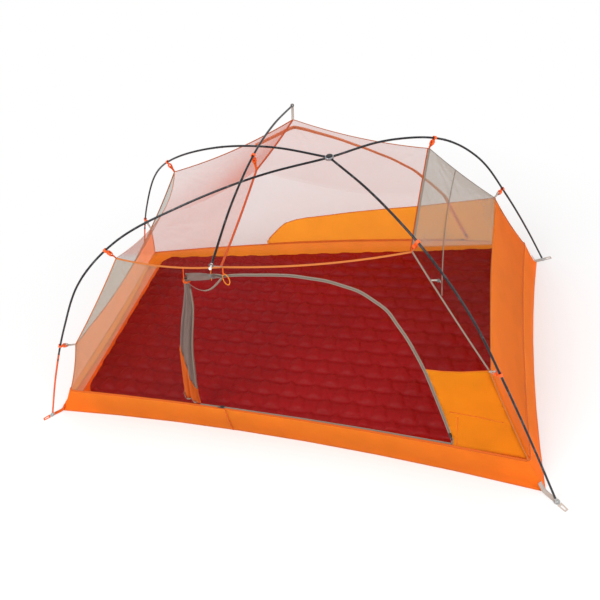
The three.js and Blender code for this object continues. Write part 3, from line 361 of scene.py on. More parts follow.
def make(name, verts, faces, look, body="tent", uvs=None, smooth=True, slot=None, stands_for=()):
    mesh = bpy.data.meshes.new(name)
    mesh.from_pydata([tuple(map(float, v)) for v in verts], [], [tuple(map(int, f)) for f in faces])
    mesh.validate()
    mesh.update()
    obj = bpy.data.objects.new(name, mesh)
    scene.collection.objects.link(obj)
    mesh.polygons.foreach_set("use_smooth", [smooth] * len(mesh.polygons))
    if uvs is not None:
        layer = mesh.uv_layers.new(name="UVMap")
        index = np.empty(len(mesh.loops), np.int64)
        mesh.loops.foreach_get("vertex_index", index)
        layer.data.foreach_set("uv", np.asarray(uvs, np.float32)[index].ravel())
    mesh.materials.append(MATERIALS[look])
    if body:
        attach(obj, body)
    if stands_for:
        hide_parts(*stands_for)
    return obj


def merge(parts):
    """One set of verts, faces and uvs from several."""
    verts, faces, uvs, start = [], [], [], 0
    for v, f, t in parts:
        verts.append(v)
        faces.extend([tuple(i + start for i in face) for face in f])
        uvs.append(t)
        start += len(v)
    return np.vstack(verts), faces, np.vstack(uvs)


def grid_faces(rows, columns, close_rows=False, close_columns=False):
    faces = []
    for i in range(rows if close_rows else rows - 1):
        for j in range(columns if close_columns else columns - 1):
            a, b = i * columns + j, i * columns + (j + 1) % columns
            c, d = ((i + 1) % rows) * columns + (j + 1) % columns, ((i + 1) % rows) * columns + j
            faces.append((a, b, c, d))
    return faces


def face_normals_to_verts(verts, faces):
    tri = np.array([f[:3] for f in faces])
    n = np.cross(verts[tri[:, 1]] - verts[tri[:, 0]], verts[tri[:, 2]] - verts[tri[:, 0]])
    out = np.zeros_like(verts)
    for f_index, face in enumerate(faces):
        for i in face:
            out[i] += n[f_index]
    return unit(out)


def thicken(verts, faces, uvs, thickness):
    """A closed thin shell about an open sheet."""
    normals = face_normals_to_verts(verts, faces)
    count = len(verts)
    seen = {}
    for face in faces:
        for a, b in zip(face, face[1:] + face[:1]):
            seen[(a, b)] = seen.get((a, b), 0) + 1
    rim = [(a, b) for (a, b) in seen if (b, a) not in seen]
    shell = np.vstack([verts + normals * thickness / 2, verts - normals * thickness / 2])
    out = list(faces) + [tuple(i + count for i in reversed(face)) for face in faces]
    out += [(b, a, a + count, b + count) for a, b in rim]
    return shell, out, np.vstack([uvs, uvs])


def resample(line, spacing, closed=False):
    line = np.asarray(line, float)
    if closed:
        line = np.vstack([line, line[:1]])
    lengths = np.r_[0, np.cumsum(np.linalg.norm(np.diff(line, axis=0), axis=1))]
    count = max(2, int(round(lengths[-1] / spacing)) + 1)
    s = np.linspace(0, lengths[-1], count)
    out = np.stack([np.interp(s, lengths, line[:, k]) for k in range(line.shape[1])], axis=1)
    return out[:-1] if closed else out


def catmull(points, per_span=12):
    """A centripetal curve through the points."""
    p = np.asarray(points, float)
    p = np.vstack([2 * p[0] - p[1], p, 2 * p[-1] - p[-2]])
    out = []
    for k in range(1, len(p) - 2):
        q = p[k - 1:k + 3]
        t = np.r_[0, np.cumsum(np.linalg.norm(np.diff(q, axis=0), axis=1) ** 0.5)]
        for x in np.linspace(t[1], t[2], per_span, endpoint=False):
            a = [q[i] * (t[i + 1] - x) / (t[i + 1] - t[i]) + q[i + 1] * (x - t[i]) / (t[i + 1] - t[i]) for i in range(3)]
            b = [a[i] * (t[i + 2] - x) / (t[i + 2] - t[i]) + a[i + 1] * (x - t[i]) / (t[i + 2] - t[i]) for i in range(2)]
            out.append(b[0] * (t[2] - x) / (t[2] - t[1]) + b[1] * (x - t[1]) / (t[2] - t[1]))
    out.append(p[-2])
    return np.array(out)


def frames_along(line, hint):
    """Tangent, side and normal at each point, the normal as near to the hint as it can be."""
    tangent = unit(np.gradient(line, axis=0))
    hint = np.broadcast_to(np.asarray(hint, float), line.shape)
    normal = unit(hint - tangent * np.sum(hint * tangent, axis=1, keepdims=True))
    return tangent, np.cross(tangent, normal), normal


def sweep(line, profile, hint=(0, 0, 1), scale=None, caps=True):
    """A closed profile of (side, normal) points carried along a line."""
    line = np.asarray(line, float)
    profile = np.asarray(profile, float)
    _, side, normal = frames_along(line, hint)
    scale = np.ones(len(line)) if scale is None else np.asarray(scale, float)
    n, m = len(line), len(profile)
    verts = (line[:, None] + side[:, None] * profile[None, :, :1] * scale[:, None, None]
             + normal[:, None] * profile[None, :, 1:] * scale[:, None, None]).reshape(-1, 3)
    faces = [(b, a, d, c) for a, b, c, d in grid_faces(n, m, close_columns=True)]
    if caps:
        faces.append(tuple(range(m)))
        faces.append(tuple(reversed(range((n - 1) * m, n * m))))
    run = np.r_[0, np.cumsum(np.linalg.norm(np.diff(line, axis=0), axis=1))]
    around = np.r_[0, np.cumsum(np.linalg.norm(np.diff(profile, axis=0), axis=1))]
    uvs = np.stack([np.repeat(run, m), np.tile(around, n)], axis=1)
    return verts, faces, uvs


def ring_profile(radius, sides=12):
    a = np.linspace(0, 2 * math.pi, sides, endpoint=False)
    return np.stack([np.cos(a), np.sin(a)], axis=1) * radius


def flat_profile(width, thickness, crown=0.0):
    """A tape's section: flat under, slightly crowned on top."""
    half = width / 2
    top = [(half * x, thickness / 2 + crown * (1 - x * x)) for x in (1.0, 0.5, 0.0, -0.5, -1.0)]
    return np.array([(-half, -thickness / 2), (0.0, -thickness / 2), (half, -thickness / 2), *top])


# ---------------------------------------------------------------- the canopy's edges and surfaces

def bent(points, breaks, sags=()):
    pts = np.array(points, float)

    def at(t):
        t = np.clip(np.atleast_1d(np.asarray(t, float)), 0.0, 1.0)
        out = np.zeros((len(t), 3))
        for k in range(len(breaks) - 1):
            inside = (t >= breaks[k]) & (t <= breaks[k + 1])
            local = ((t - breaks[k]) / (breaks[k + 1] - breaks[k]))[:, None]
            p = pts[k] * (1 - local) + pts[k + 1] * local
            if len(sags) > k and sags[k] is not None:
                p = p + np.array(sags[k]) * 4 * local * (1 - local)
            out[inside] = p[inside]
        return out
    return at


def through(points):
    """An edge that passes smoothly through the points, by share of length."""
    pts = np.array(points, float)
    run = np.r_[0, np.cumsum(np.linalg.norm(np.diff(pts, axis=0), axis=1))]
    run /= run[-1]

    def at(t):
        t = np.clip(np.atleast_1d(np.asarray(t, float)), 0.0, 1.0)
        return np.stack([np.interp(t, run, pts[:, k]) for k in range(3)], axis=1)
    return at


def coons(top, bottom, left, right):
    c = [top(0.0)[0], top(1.0)[0], bottom(0.0)[0], bottom(1.0)[0]]

    def at(u, v):
        u, v = np.broadcast_arrays(np.atleast_1d(np.asarray(u, float)), np.atleast_1d(np.asarray(v, float)))
        a, b = u[:, None], v[:, None]
        p = top(u) * (1 - b) + bottom(u) * b + left(v) * (1 - a) + right(v) * a
        return p - (c[0] * (1 - a) * (1 - b) + c[1] * a * (1 - b) + c[2] * (1 - a) * b + c[3] * a * b)
    return at


def lift(patch, pairs, axes, rounds=40):
    """The points of a patch whose coordinates on two axes are the given pairs."""
    pairs = np.asarray(pairs, float)
    u = np.full(len(pairs), 0.5)
    v = np.full(len(pairs), 0.5)
    h = 1e-4
    for _ in range(rounds):
        p = patch(u, v)
        pu = (patch(np.clip(u + h, 0, 1), v) - patch(np.clip(u - h, 0, 1), v))[:, axes]
        pv = (patch(u, np.clip(v + h, 0, 1)) - patch(u, np.clip(v - h, 0, 1)))[:, axes]
        pu /= (np.clip(u + h, 0, 1) - np.clip(u - h, 0, 1))[:, None]
        pv /= (np.clip(v + h, 0, 1) - np.clip(v - h, 0, 1))[:, None]
        e = pairs - p[:, axes]
        det = pu[:, 0] * pv[:, 1] - pu[:, 1] * pv[:, 0]
        det = np.where(np.abs(det) < 1e-9, 1e-9, det)
        u = np.clip(u + 0.6 * (e[:, 0] * pv[:, 1] - e[:, 1] * pv[:, 0]) / det, 0, 1)
        v = np.clip(v + 0.6 * (pu[:, 0] * e[:, 1] - pu[:, 1] * e[:, 0]) / det, 0, 1)
    return patch(u, v)


def tub_rings():
    """The bathtub's outline on the ground and along its top edge, as matching lists that start at the foot's front corner."""
    pts = points_of("bathtub_floor")
    rings = []
    for low, high in ((-0.001, 0.0001), (0.13, 0.16)):
        level = pts[(pts[:, 2] >= low) & (pts[:, 2] <= high)]
        level = level[np.linalg.norm(level[:, :2], axis=1) > 0.3]
        keep = []
        for p in level:
            near = level[np.linalg.norm(level - p, axis=1) < 0.0035]
            if np.linalg.norm(p[:2]) >= np.max(np.linalg.norm(near[:, :2], axis=1)) - 1e-9:
                keep.append(p)
        keep = np.array(keep)
        keep = keep[np.argsort(np.arctan2(keep[:, 1] * 1.6, keep[:, 0]))]
        start = np.argmin(np.linalg.norm(keep[:, :2] - np.array([-1.1, -0.52]), axis=1))
        rings.append(np.roll(keep, -start, axis=0))
    return rings


FLOOR_RING, TOP_RING = tub_rings()
CORNER_ROUGH = {("foot", "front"): (-1.04, -0.51, 0.14), ("head", "front"): (1.08, -0.61, 0.14),
                ("head", "rear"): (1.08, 0.67, 0.14), ("foot", "rear"): (-1.04, 0.53, 0.14)}


def ring_part(ring, a, b):
    """The part of a closed ring from the point nearest a on to the one nearest b."""
    i = int(np.argmin(np.linalg.norm(ring - np.array(a), axis=1)))
    j = int(np.argmin(np.linalg.norm(ring - np.array(b), axis=1)))
    if j < i:
        j += len(ring)
    return np.array([ring[k % len(ring)] for k in range(i, j + 1)])


def tub_corner(end, place):
    """Where two runs of the bathtub's top edge meet."""
    rough = np.array(CORNER_ROUGH[(end, place)])
    close = TOP_RING[np.argsort(np.linalg.norm(TOP_RING - rough, axis=1))[:2]]
    return close.mean(axis=0)


SHOULDER = {("head", p): snap(f"{p}_wall", (0.65, 0.32 * s, 0.92)) for p, s in SIDES.items()}
SHOULDER.update({("foot", p): snap(f"{p}_wall", (-0.55, 0.31 * s, 0.85)) for p, s in SIDES.items()})
LOW = {("head", p): snap("head_end_wall", (0.92, 0.514 * s, 0.53)) for p, s in SIDES.items()}
LOW.update({("foot", p): snap("foot_end_wall", (-0.905, 0.43 * s, 0.41)) for p, s in SIDES.items()})
APEX = {p: points_of(f"{p}_wall")[np.argmax(points_of(f"{p}_wall")[:, 2])] + np.array([0, 0, 0.004]) for p in SIDES}
TUB = {(e, p): tub_corner(e, p) for e in ENDS for p in SIDES}
ROOF_CENTRE = snap("roof_mesh", (0.02, 0.0, 1.04))

ROOF_SAG = (0, 0, -0.022)
FOOT_TOP_SAG = (0.055, 0, -0.025)
HEAD_TOP_SAG = (-0.004, 0, -0.016)
CORNER_SAG = 0.007


def roof_edge(place):
    return bent([SHOULDER["foot", place], APEX[place], SHOULDER["head", place]], [0, 0.46, 1], [ROOF_SAG, ROOF_SAG])


def corner_edge(end, place):
    """A canopy corner from its shoulder to the tub; each span is drawn slightly in by the fabric's pull."""
    inward = np.array([-0.6 if end == "head" else 0.6, -0.6 * SIDES[place], -0.3]) * CORNER_SAG
    return bent([SHOULDER[end, place], LOW[end, place], TUB[end, place]], [0, 0.51 if end == "head" else 0.62, 1],
                [inward, inward])


def tub_edge(place):
    if place == "front":
        part = ring_part(TOP_RING, TUB["foot", "front"], TUB["head", "front"])
    else:
        part = ring_part(TOP_RING, TUB["head", "rear"], TUB["foot", "rear"])[::-1]
    return through([TUB["foot", place], *part[1:-1], TUB["head", place]])


def end_edge(end):
    if end == "head":
        part = ring_part(TOP_RING, TUB["head", "front"], TUB["head", "rear"])
    else:
        part = ring_part(TOP_RING, TUB["foot", "rear"], TUB["foot", "front"])[::-1]
    return through([TUB[end, "front"], *part[1:-1], TUB[end, "rear"]])


WALL = {p: coons(roof_edge(p), tub_edge(p), corner_edge("foot", p), corner_edge("head", p)) for p in SIDES}
TOP_SAG = {"head": HEAD_TOP_SAG, "foot": FOOT_TOP_SAG}
END_TOP = {e: bent([SHOULDER[e, "front"], SHOULDER[e, "rear"]], [0, 1], [TOP_SAG[e]]) for e in ENDS}
END = {e: coons(END_TOP[e], end_edge(e), corner_edge(e, "front"), corner_edge(e, "rear")) for e in ENDS}
RIDGE = bent([APEX["front"], ROOF_CENTRE, APEX["rear"]], [0, 0.5, 1], [(0, 0, -0.006)] * 2)


def roof_half(end):
    part = (lambda p: (lambda t: roof_edge(p)(np.asarray(t) * 0.46))) if end == "foot" else (
        lambda p: (lambda t: roof_edge(p)(0.46 + np.asarray(t) * 0.54)))
    left, right = (END_TOP["foot"], RIDGE) if end == "foot" else (RIDGE, END_TOP["head"])
    return coons(part("front"), part("rear"), left, right)


ROOF = {e: roof_half(e) for e in ENDS}


def normal_on(patch, pairs, axes, outwards):
    pairs = np.asarray(pairs, float)
    d = 0.004
    a = lift(patch, pairs + [d, 0], axes) - lift(patch, pairs - [d, 0], axes)
    b = lift(patch, pairs + [0, d], axes) - lift(patch, pairs - [0, d], axes)
    n = unit(np.cross(a, b))
    flip = np.sum(n * np.asarray(outwards), axis=1) < 0
    n[flip] *= -1
    return n


# ---------------------------------------------------------------- cutting a surface into panels

def inside(points, polygon):
    x, y = points[:, 0], points[:, 1]
    result = np.zeros(len(points), bool)
    j = len(polygon) - 1
    for i in range(len(polygon)):
        xi, yi = polygon[i]
        xj, yj = polygon[j]
        crosses = (yi > y) != (yj > y)
        at = (xj - xi) * (y - yi) / (yj - yi if abs(yj - yi) > 1e-12 else 1e-12) + xi
        result ^= crosses & (x < at)
        j = i
    return result


def panels(patch, outline, shapes, axes, spacing=0.02, wrinkle=None, outwards=(0, 0, 1)):
    """Triangulates a surface inside an outline so that every shape's border is an edge of the mesh.
    Returns the 3-D points, their normals and, for each set of shapes, the triangles it covers."""
    outlines = [resample(outline, spacing, closed=True)] + [resample(s, spacing, closed=True) for s in shapes]
    low, high = outlines[0].min(axis=0), outlines[0].max(axis=0)
    xs = np.arange(low[0], high[0], spacing)
    ys = np.arange(low[1], high[1], spacing * 0.866)
    points = np.array([(x + (k % 2) * spacing / 2, y) for k, y in enumerate(ys) for x in xs])
    points = points[inside(points, outlines[0])]
    border = np.vstack(outlines)
    gap = np.min(np.linalg.norm(points[:, None] - border[None], axis=2), axis=1)
    points = points[gap > spacing * 0.45]
    coords = [Vector(p) for p in np.vstack([border, points])]
    faces, start = [], 0
    for ring in outlines:
        faces.append(list(range(start, start + len(ring))))
        start += len(ring)
    co, _, tris, _, _, _ = delaunay_2d_cdt(coords, [], faces, 1, 1e-6)
    flat = np.array([(p[0], p[1]) for p in co])
    centres = np.array([flat[list(t)].mean(axis=0) for t in tris])
    member = np.stack([inside(centres, ring) for ring in outlines], axis=1)
    solid = lift(patch, flat, axes)
    normals = normal_on(patch, flat, axes, outwards)
    if wrinkle is not None:
        edge = np.min(np.linalg.norm(flat[:, None] - outlines[0][None], axis=2), axis=1)
        solid = solid + normals * (wrinkle(flat) * np.clip(edge / 0.035 - 0.3, 0, 1))[:, None]
    groups = {}
    for t, m in zip(tris, member):
        if not m[0]:
            continue
        a, b, c = t
        n = np.cross(solid[b] - solid[a], solid[c] - solid[a])
        tri = (a, b, c) if np.dot(n, normals[a]) > 0 else (a, c, b)
        groups.setdefault(tuple(bool(x) for x in m[1:]), []).append(tri)
    return flat, solid, groups


def pick(flat, solid, tris):
    used = sorted({i for t in tris for i in t})
    where = {old: new for new, old in enumerate(used)}
    return solid[used], [tuple(where[i] for i in t) for t in tris], flat[used]


def panel_piece(name, data, keys, look, shell=0.0, **more):
    flat, solid, groups = data
    tris = [t for k in keys for t in groups.get(k, [])]
    verts, faces, uvs = pick(flat, solid, tris)
    if shell:
        verts, faces, uvs = thicken(verts, faces, uvs, shell)
    return make(name, verts, faces, look, uvs=uvs, **more)


def ribbon(line, across, width, thickness=0.0012):
    """A flat tape along a line, its width held along one direction."""
    line = np.asarray(line, float)
    tangent = unit(np.gradient(line, axis=0))
    return sweep(line, flat_profile(width, thickness, 0.0003), unit(np.cross(across, tangent)))


def washer(centre, axis, inner, outer, half, sides=20):
    """A flat ring about an axis."""
    a = unit(np.cross(axis, [0.3, 0.9, 0.2]))
    b = np.cross(axis, a)
    turn = np.linspace(0, 2 * math.pi, sides, endpoint=False)
    verts = []
    for r, h in ((inner, -half), (outer, -half), (outer, half), (inner, half)):
        verts.append(centre + axis * h + r * (np.cos(turn)[:, None] * a + np.sin(turn)[:, None] * b))
    verts = np.vstack(verts)
    faces = grid_faces(4, sides, close_rows=True, close_columns=True)
    return verts, faces, verts[:, :2]


def tape_on(name, line, normals, width, look, thickness=0.0012, rise=0.0012, crown=0.0004, **more):
    line = np.asarray(line, float) + np.asarray(normals) * rise
    verts, faces, uvs = sweep(line, flat_profile(width, thickness, crown), normals)
    return make(name, verts, faces, look, uvs=uvs, **more)


# ---------------------------------------------------------------- doorway

XZ, YZ, XY = [0, 2], [1, 2], [0, 1]
SLOT = 0.016


def convex_hull(points):
    pts = sorted(map(tuple, np.unique(np.round(points, 5), axis=0)))

    def half(sequence):
        out = []
        for p in sequence:
            while len(out) > 1:
                (ax, ay), (bx, by) = out[-2], out[-1]
                if (bx - ax) * (p[1] - ay) - (by - ay) * (p[0] - ax) <= 1e-9:
                    out.pop()
                else:
                    break
            out.append(p)
        return out[:-1]
    return np.array(half(pts) + half(reversed(pts)))


def zip_path():
    """The zip's middle line in x and z, half a zip's width outside the closed door: the sill's hinge end, the sill's
    head end, then the head side and the arch up to the hinge's top."""
    hull = convex_hull(points_of("rear_door")[:, XZ])
    hull = np.roll(hull, -int(np.argmin(hull @ np.array([1.0, 1.0]))), axis=0)
    top = int(np.argmin(np.abs(hull[:, 1] - joint_pos("rear_door_swing")[2]) + (hull[:, 0] > 0)))
    out = []
    for i in range(top + 1):
        a = unit(hull[i] - hull[i - 1])
        b = unit(hull[(i + 1) % len(hull)] - hull[i])
        na, nb = np.array([a[1], -a[0]]), np.array([b[1], -b[0]])
        miter = unit(na + nb)
        out.append(hull[i] + miter * SLOT / 2 / max(0.4, float(np.dot(miter, na))))
    out = np.array(out)
    return out[0], out[1], catmull(resample(out[2:], 0.06), 6)


ZIP_FOOT, ZIP_CORNER, ZIP_ARCH = zip_path()
DOORWAY = np.vstack([[ZIP_FOOT], [ZIP_CORNER], ZIP_ARCH])



def dense(line, spacing=0.012):
    return resample(line, spacing)


def edge_line(edge, count=80):
    return edge(np.linspace(0, 1, count))


def on_wall(place, xz, rise=0.0):
    """Points on a long wall at the given x and z, and the wall's outward normals there."""
    out = (0.0, SIDES[place], 0.15)
    pts = lift(WALL[place], xz, XZ)
    n = normal_on(WALL[place], xz, XZ, out)
    return pts + n * rise, n


# ---------------------------------------------------------------- long walls

FRONT_PANEL_TOP = [(0.690, 0.520), (0.760, 0.515), (0.830, 0.518), (0.890, 0.527), (0.960, 0.535)]
SWOOSH_TOP = [(-0.338, 0.120), (-0.322, 0.165), (-0.296, 0.202), (-0.252, 0.248), (-0.205, 0.294), (-0.172, 0.320),
              (-0.106, 0.340), (0.080, 0.366), (0.200, 0.387), (0.467, 0.428), (0.571, 0.444), (0.760, 0.486),
              (0.930, 0.529), (0.970, 0.540)]


def wall_outline(place):
    patch = WALL[place]
    t = np.linspace(0, 1, 60)
    top = patch(t, np.zeros(60))
    head = patch(np.ones(60), t)
    foot = patch(t[::-1], np.ones(60))
    tail = patch(np.zeros(60), t[::-1])
    return np.vstack([top[:-1], head[:-1], foot[:-1], tail[:-1]])[:, XZ]


def wall_wrinkle(place):
    """Soft folds that fan out from the wall's tension points, by x and z."""
    anchors = [np.array(LOW["head", place])[XZ], np.array(LOW["foot", place])[XZ], np.array(SHOULDER["head", place])[XZ],
               np.array(SHOULDER["foot", place])[XZ], np.array(APEX[place])[XZ]]
    phases = np.random.default_rng(11 if place == "front" else 12).uniform(0, 6.28, (len(anchors), 2))

    def at(flat):
        total = np.zeros(len(flat))
        for (ax, az), (p0, p1) in zip(anchors, phases):
            dx, dz = flat[:, 0] - ax, flat[:, 1] - az
            r = np.hypot(dx, dz)
            angle = np.arctan2(dz, dx)
            near = np.exp(-r / 0.16) * np.clip(r / 0.03, 0, 1)
            total += near * 0.0022 * (np.sin(13 * angle + p0) + 0.6 * np.sin(23 * angle + p1))
        total += 0.0016 * np.sin(flat[:, 0] * 9.0 + 1.3 * np.sin(flat[:, 1] * 7.0)) * np.sin(flat[:, 1] * 8.0 + 0.7)
        return total
    return at


def build_long_wall(place):
    doorway = np.vstack([[ZIP_FOOT - [0.012, 0.06]], [ZIP_CORNER - [0.0, 0.06]], DOORWAY[1:]])
    if place == "front":
        solid = np.vstack([FRONT_PANEL_TOP, [(1.3, 0.5), (1.3, 0.02), (0.66, 0.02)]])
    else:
        solid = np.vstack([SWOOSH_TOP, [(1.3, 0.5), (1.3, 0.02), (-0.338, 0.02)]])
    data = panels(WALL[place], wall_outline(place), [doorway, solid], XZ, 0.022 if place == "front" else 0.022,
                  wall_wrinkle(place), (0, SIDES[place], 0.15))
    net = "front_net" if place == "front" else "wall_net"
    panel_piece(f"{place}_wall_netting", data, [(False, False)], net, slot="wall_netting",
                stands_for=[f"{place}_wall"])
    # the rear wall's panel takes the lighter copy of the panel nylon: painted light
    panel = "panel" if place == "front" else "swoosh_painted_light"
    panel_piece(f"{place}_wall_panel", data, [(False, True)], panel, shell=0.0006, slot="canopy_fabric")
    if place == "rear":
        panel_piece("rear_door_netting", data, [(True, False)], "wall_net", body="rear_door", slot="wall_netting",
                    stands_for=["rear_door"])
        panel_piece("rear_door_panel", data, [(True, True)], "swoosh_painted_light", shell=0.0006, body="rear_door",
                    slot="canopy_fabric")


for place in SIDES:
    build_long_wall(place)


# ---------------------------------------------------------------- end walls and roof

def end_outline(end):
    patch = END[end]
    t = np.linspace(0, 1, 50)
    ring = [patch(t, np.zeros(50)), patch(np.ones(50), t), patch(t[::-1], np.ones(50)), patch(np.zeros(50), t[::-1])]
    return np.vstack([r[:-1] for r in ring])[:, YZ]


END_PANEL_TOP = {"head": 0.531, "foot": 0.409}
OUT_X = {"head": 1.0, "foot": -1.0}


def build_end(end):
    top = END_PANEL_TOP[end]
    # each end takes its own copy of the panel nylon: the head's is darker (painted shade), the foot's paler (painted
    # light)
    net, cloth = f"{end}_net", f"{end}_panel"
    sag = 0.012
    line = [(y, top - sag * (1 - (y / 0.55) ** 2)) for y in np.linspace(-0.62, 0.62, 30)]
    solid = np.vstack([line, [(0.9, top), (0.9, 0.0), (-0.9, 0.0), (-0.9, top)]])
    phase = np.random.default_rng(21 if end == "head" else 22).uniform(0, 6.28, 4)

    def wrinkle(flat):
        y, z = flat[:, 0], flat[:, 1]
        total = 0.003 * np.sin(y * 9 + phase[0]) * np.sin(z * 6 + phase[1])
        for k, (cy, cz) in enumerate([(-0.514, top), (0.514, top), (-0.34, 0.9), (0.34, 0.9)]):
            r = np.hypot(y - cy, z - cz)
            total += np.exp(-r / 0.12) * np.clip(r / 0.03, 0, 1) * 0.0024 * np.sin(
                15 * np.arctan2(z - cz, y - cy) + phase[k])
        return total
    data = panels(END[end], end_outline(end), [solid], YZ, 0.022, wrinkle, (OUT_X[end], 0, 0.3))
    panel_piece(f"{end}_end_netting", data, [(False,)], net, slot="wall_netting",
                stands_for=[f"{end}_end_wall"])
    panel_piece(f"{end}_end_panel", data, [(True,)], cloth, shell=0.0006, slot="canopy_fabric")
    ys = np.linspace(line[0][0], line[-1][0], 90)
    z = np.interp(ys, [p[0] for p in line], [p[1] for p in line])
    rows = [("panel_seam", np.stack([ys, z], axis=1))]
    if end == "head":
        mid = np.linspace(-0.6, 0.6, 90)
        rows.append(("mid_seam", np.stack([mid, np.full(90, 0.763)], axis=1)))
    ring = end_outline(end)
    for name, pairs in rows:
        pairs = pairs[inside(pairs, ring)]
        pts = lift(END[end], pairs, YZ)
        n = normal_on(END[end], pairs, YZ, (OUT_X[end], 0, 0.3))
        tape_on(f"{end}_end_{name}", pts, n, 0.005, "grey_tape" if name == "mid_seam" else "tape", slot="webbing")


for end in ENDS:
    build_end(end)


def build_roof():
    for end in ENDS:
        patch = ROOF[end]
        t = np.linspace(0, 1, 50)
        ring = [patch(t, np.zeros(50)), patch(np.ones(50), t), patch(t[::-1], np.ones(50)), patch(np.zeros(50), t[::-1])]
        outline = np.vstack([r[:-1] for r in ring])[:, XY]
        data = panels(patch, outline, [], XY, 0.024, None, (0, 0, 1))
        more = {"stands_for": ["roof_mesh"]} if end == "foot" else {}
        panel_piece(f"roof_{end}_netting", data, [()], "roof_net", slot="roof_netting", **more)
    ridge = edge_line(RIDGE, 120)
    tape_on("ridge_seam", ridge, np.broadcast_to(UP, ridge.shape), 0.009, "ridge_tape", slot="webbing")
    for place in SIDES:
        line = edge_line(roof_edge(place), 160)
        n = unit(np.broadcast_to(np.array([0, SIDES[place] * 0.8, 0.6]), line.shape))
        tape_on(f"{place}_roof_seam", line, n, 0.007, "tape", slot="webbing")
    for end in ENDS:
        line = edge_line(END_TOP[end], 100)
        n = unit(np.broadcast_to(np.array([OUT_X[end] * 0.6, 0, 0.8]), line.shape))
        if end == "head":
            tape_on("head_roof_seam", line, n, 0.008, "grey_tape", slot="webbing")
            tape_on("head_roof_binding", line - [0.007, 0, 0], n, 0.005, "tub_tape", slot="webbing")
        else:
            tape_on("foot_roof_seam", line, n, 0.005, "tape", slot="webbing")
        for place in SIDES:
            line = edge_line(corner_edge(end, place), 120)
            n = unit(np.broadcast_to(np.array([OUT_X[end] * 0.7, SIDES[place] * 0.7, 0.25]), line.shape))
            cut = 61 if end == "head" else 74
            tape_on(f"{place}_{end}_upper_corner_seam", line[:cut], n[:cut], 0.006,
                    "grey_tape" if end == "head" else "tape", slot="webbing")
            tape_on(f"{place}_{end}_lower_corner_seam", line[cut - 1:], n[cut - 1:], 0.005, "tape", slot="webbing")


build_roof()


# ---------------------------------------------------------------- bathtub floor

def tub_levels():
    count = 560
    pairs = []
    for ring in (FLOOR_RING, TOP_RING):
        closed = np.vstack([ring, ring[:1]])
        s = np.linspace(0, len(ring), count, endpoint=False)
        pairs.append(np.stack([np.interp(s, np.arange(len(ring) + 1), closed[:, k]) for k in range(3)], axis=1))
    return pairs


def build_tub():
    low, high = tub_levels()
    count = len(low)
    levels = 12
    s = np.arange(count)
    corner_at = [0, count * 8 // 32, count * 16 // 32, count * 24 // 32]
    to_corner = np.min([np.minimum(np.abs(s - c), count - np.abs(s - c)) for c in corner_at], axis=0) / count
    outwards = unit(np.stack([high[:, 0] * 0.6, high[:, 1], np.zeros(count)], axis=1))
    noise = np.random.default_rng(5)
    waves = [(noise.uniform(30, 90), noise.uniform(0, 6.28), noise.uniform(0.4, 1.0)) for _ in range(9)]
    ripple = sum(w * np.sin(2 * math.pi * f * s / count + ph) for f, ph, w in waves) / 9
    crease = np.exp(-to_corner / 0.012)
    verts, uvs = [], []
    run = np.r_[0, np.cumsum(np.linalg.norm(np.diff(low, axis=0), axis=1))]
    for k in range(levels + 1):
        h = k / levels
        bulge = 0.004 * math.sin(math.pi * h) * (1 - crease)
        fold = 0
        if 0 < h < 1:
            fan = np.sin((to_corner * 900 + 2.0) * (1.3 - h)) * np.exp(-to_corner / 0.045) * np.clip(to_corner / 0.004, 0, 1)
            fold = (ripple * 0.0035 * (0.35 + 0.65 * crease) + fan * 0.0030) * math.sin(math.pi * min(1.0, h * 1.15)) ** 0.5
        p = low * (1 - h) + high * h + outwards * (bulge + fold)[:, None]
        verts.append(p + np.array([0, 0, 0.0008]))
        uvs.append(np.stack([run, np.full(count, 0.16 * h)], axis=1))
    wall = np.vstack(verts[::-1])
    uv = np.vstack(uvs[::-1])
    rows = levels + 1
    shrink = [0.985, 0.95, 0.88, 0.7, 0.45, 0.2]
    for f in shrink:
        p = low * f
        dip = 0.0006 * np.sin(p[:, 0] * 23) * np.sin(p[:, 1] * 19)
        p[:, 2] = 0.0014 + dip
        wall = np.vstack([wall, p])
        uv = np.vstack([uv, p[:, :2]])
        rows += 1
    faces = grid_faces(rows, count, close_columns=True)
    centre = len(wall)
    wall = np.vstack([wall, [[0, 0, 0.0014]]])
    uv = np.vstack([uv, [[0, 0]]])
    last = (rows - 1) * count
    faces += [(last + j, last + (j + 1) % count, centre) for j in range(count)]
    verts, faces, uv = thicken(wall, faces, uv, 0.0008)
    make("bathtub_shell", verts, faces, "tub", uvs=uv, slot="floor_fabric", stands_for=["bathtub_floor"])
    top = np.vstack([high, high[:1]])
    n = unit(np.stack([top[:, 0] * 0.6, top[:, 1], np.full(len(top), 0.4)], axis=1))
    tape_on("bathtub_top_seam", top, n, 0.010, "tub_tape", rise=0.0004, slot="webbing")
    foot, head = (ring[np.argmin(np.abs(ring[:, 0] - x) + (ring[:, 1] > 0))] for ring, x in ((low, -0.19), (high, -0.204)))
    rows = np.linspace(0.04, 0.96, 14)[:, None]
    join = foot * (1 - rows) + head * rows - np.array([0, 1, 0]) * (0.0035 + 0.005 * np.sin(math.pi * rows))
    v, f, t = ribbon(join, (1.0, 0.0, 0.0), 0.006)
    make("bathtub_side_seam", v, f, "tub_tape", uvs=t, slot="webbing")


build_tub()


# ---------------------------------------------------------------- poles

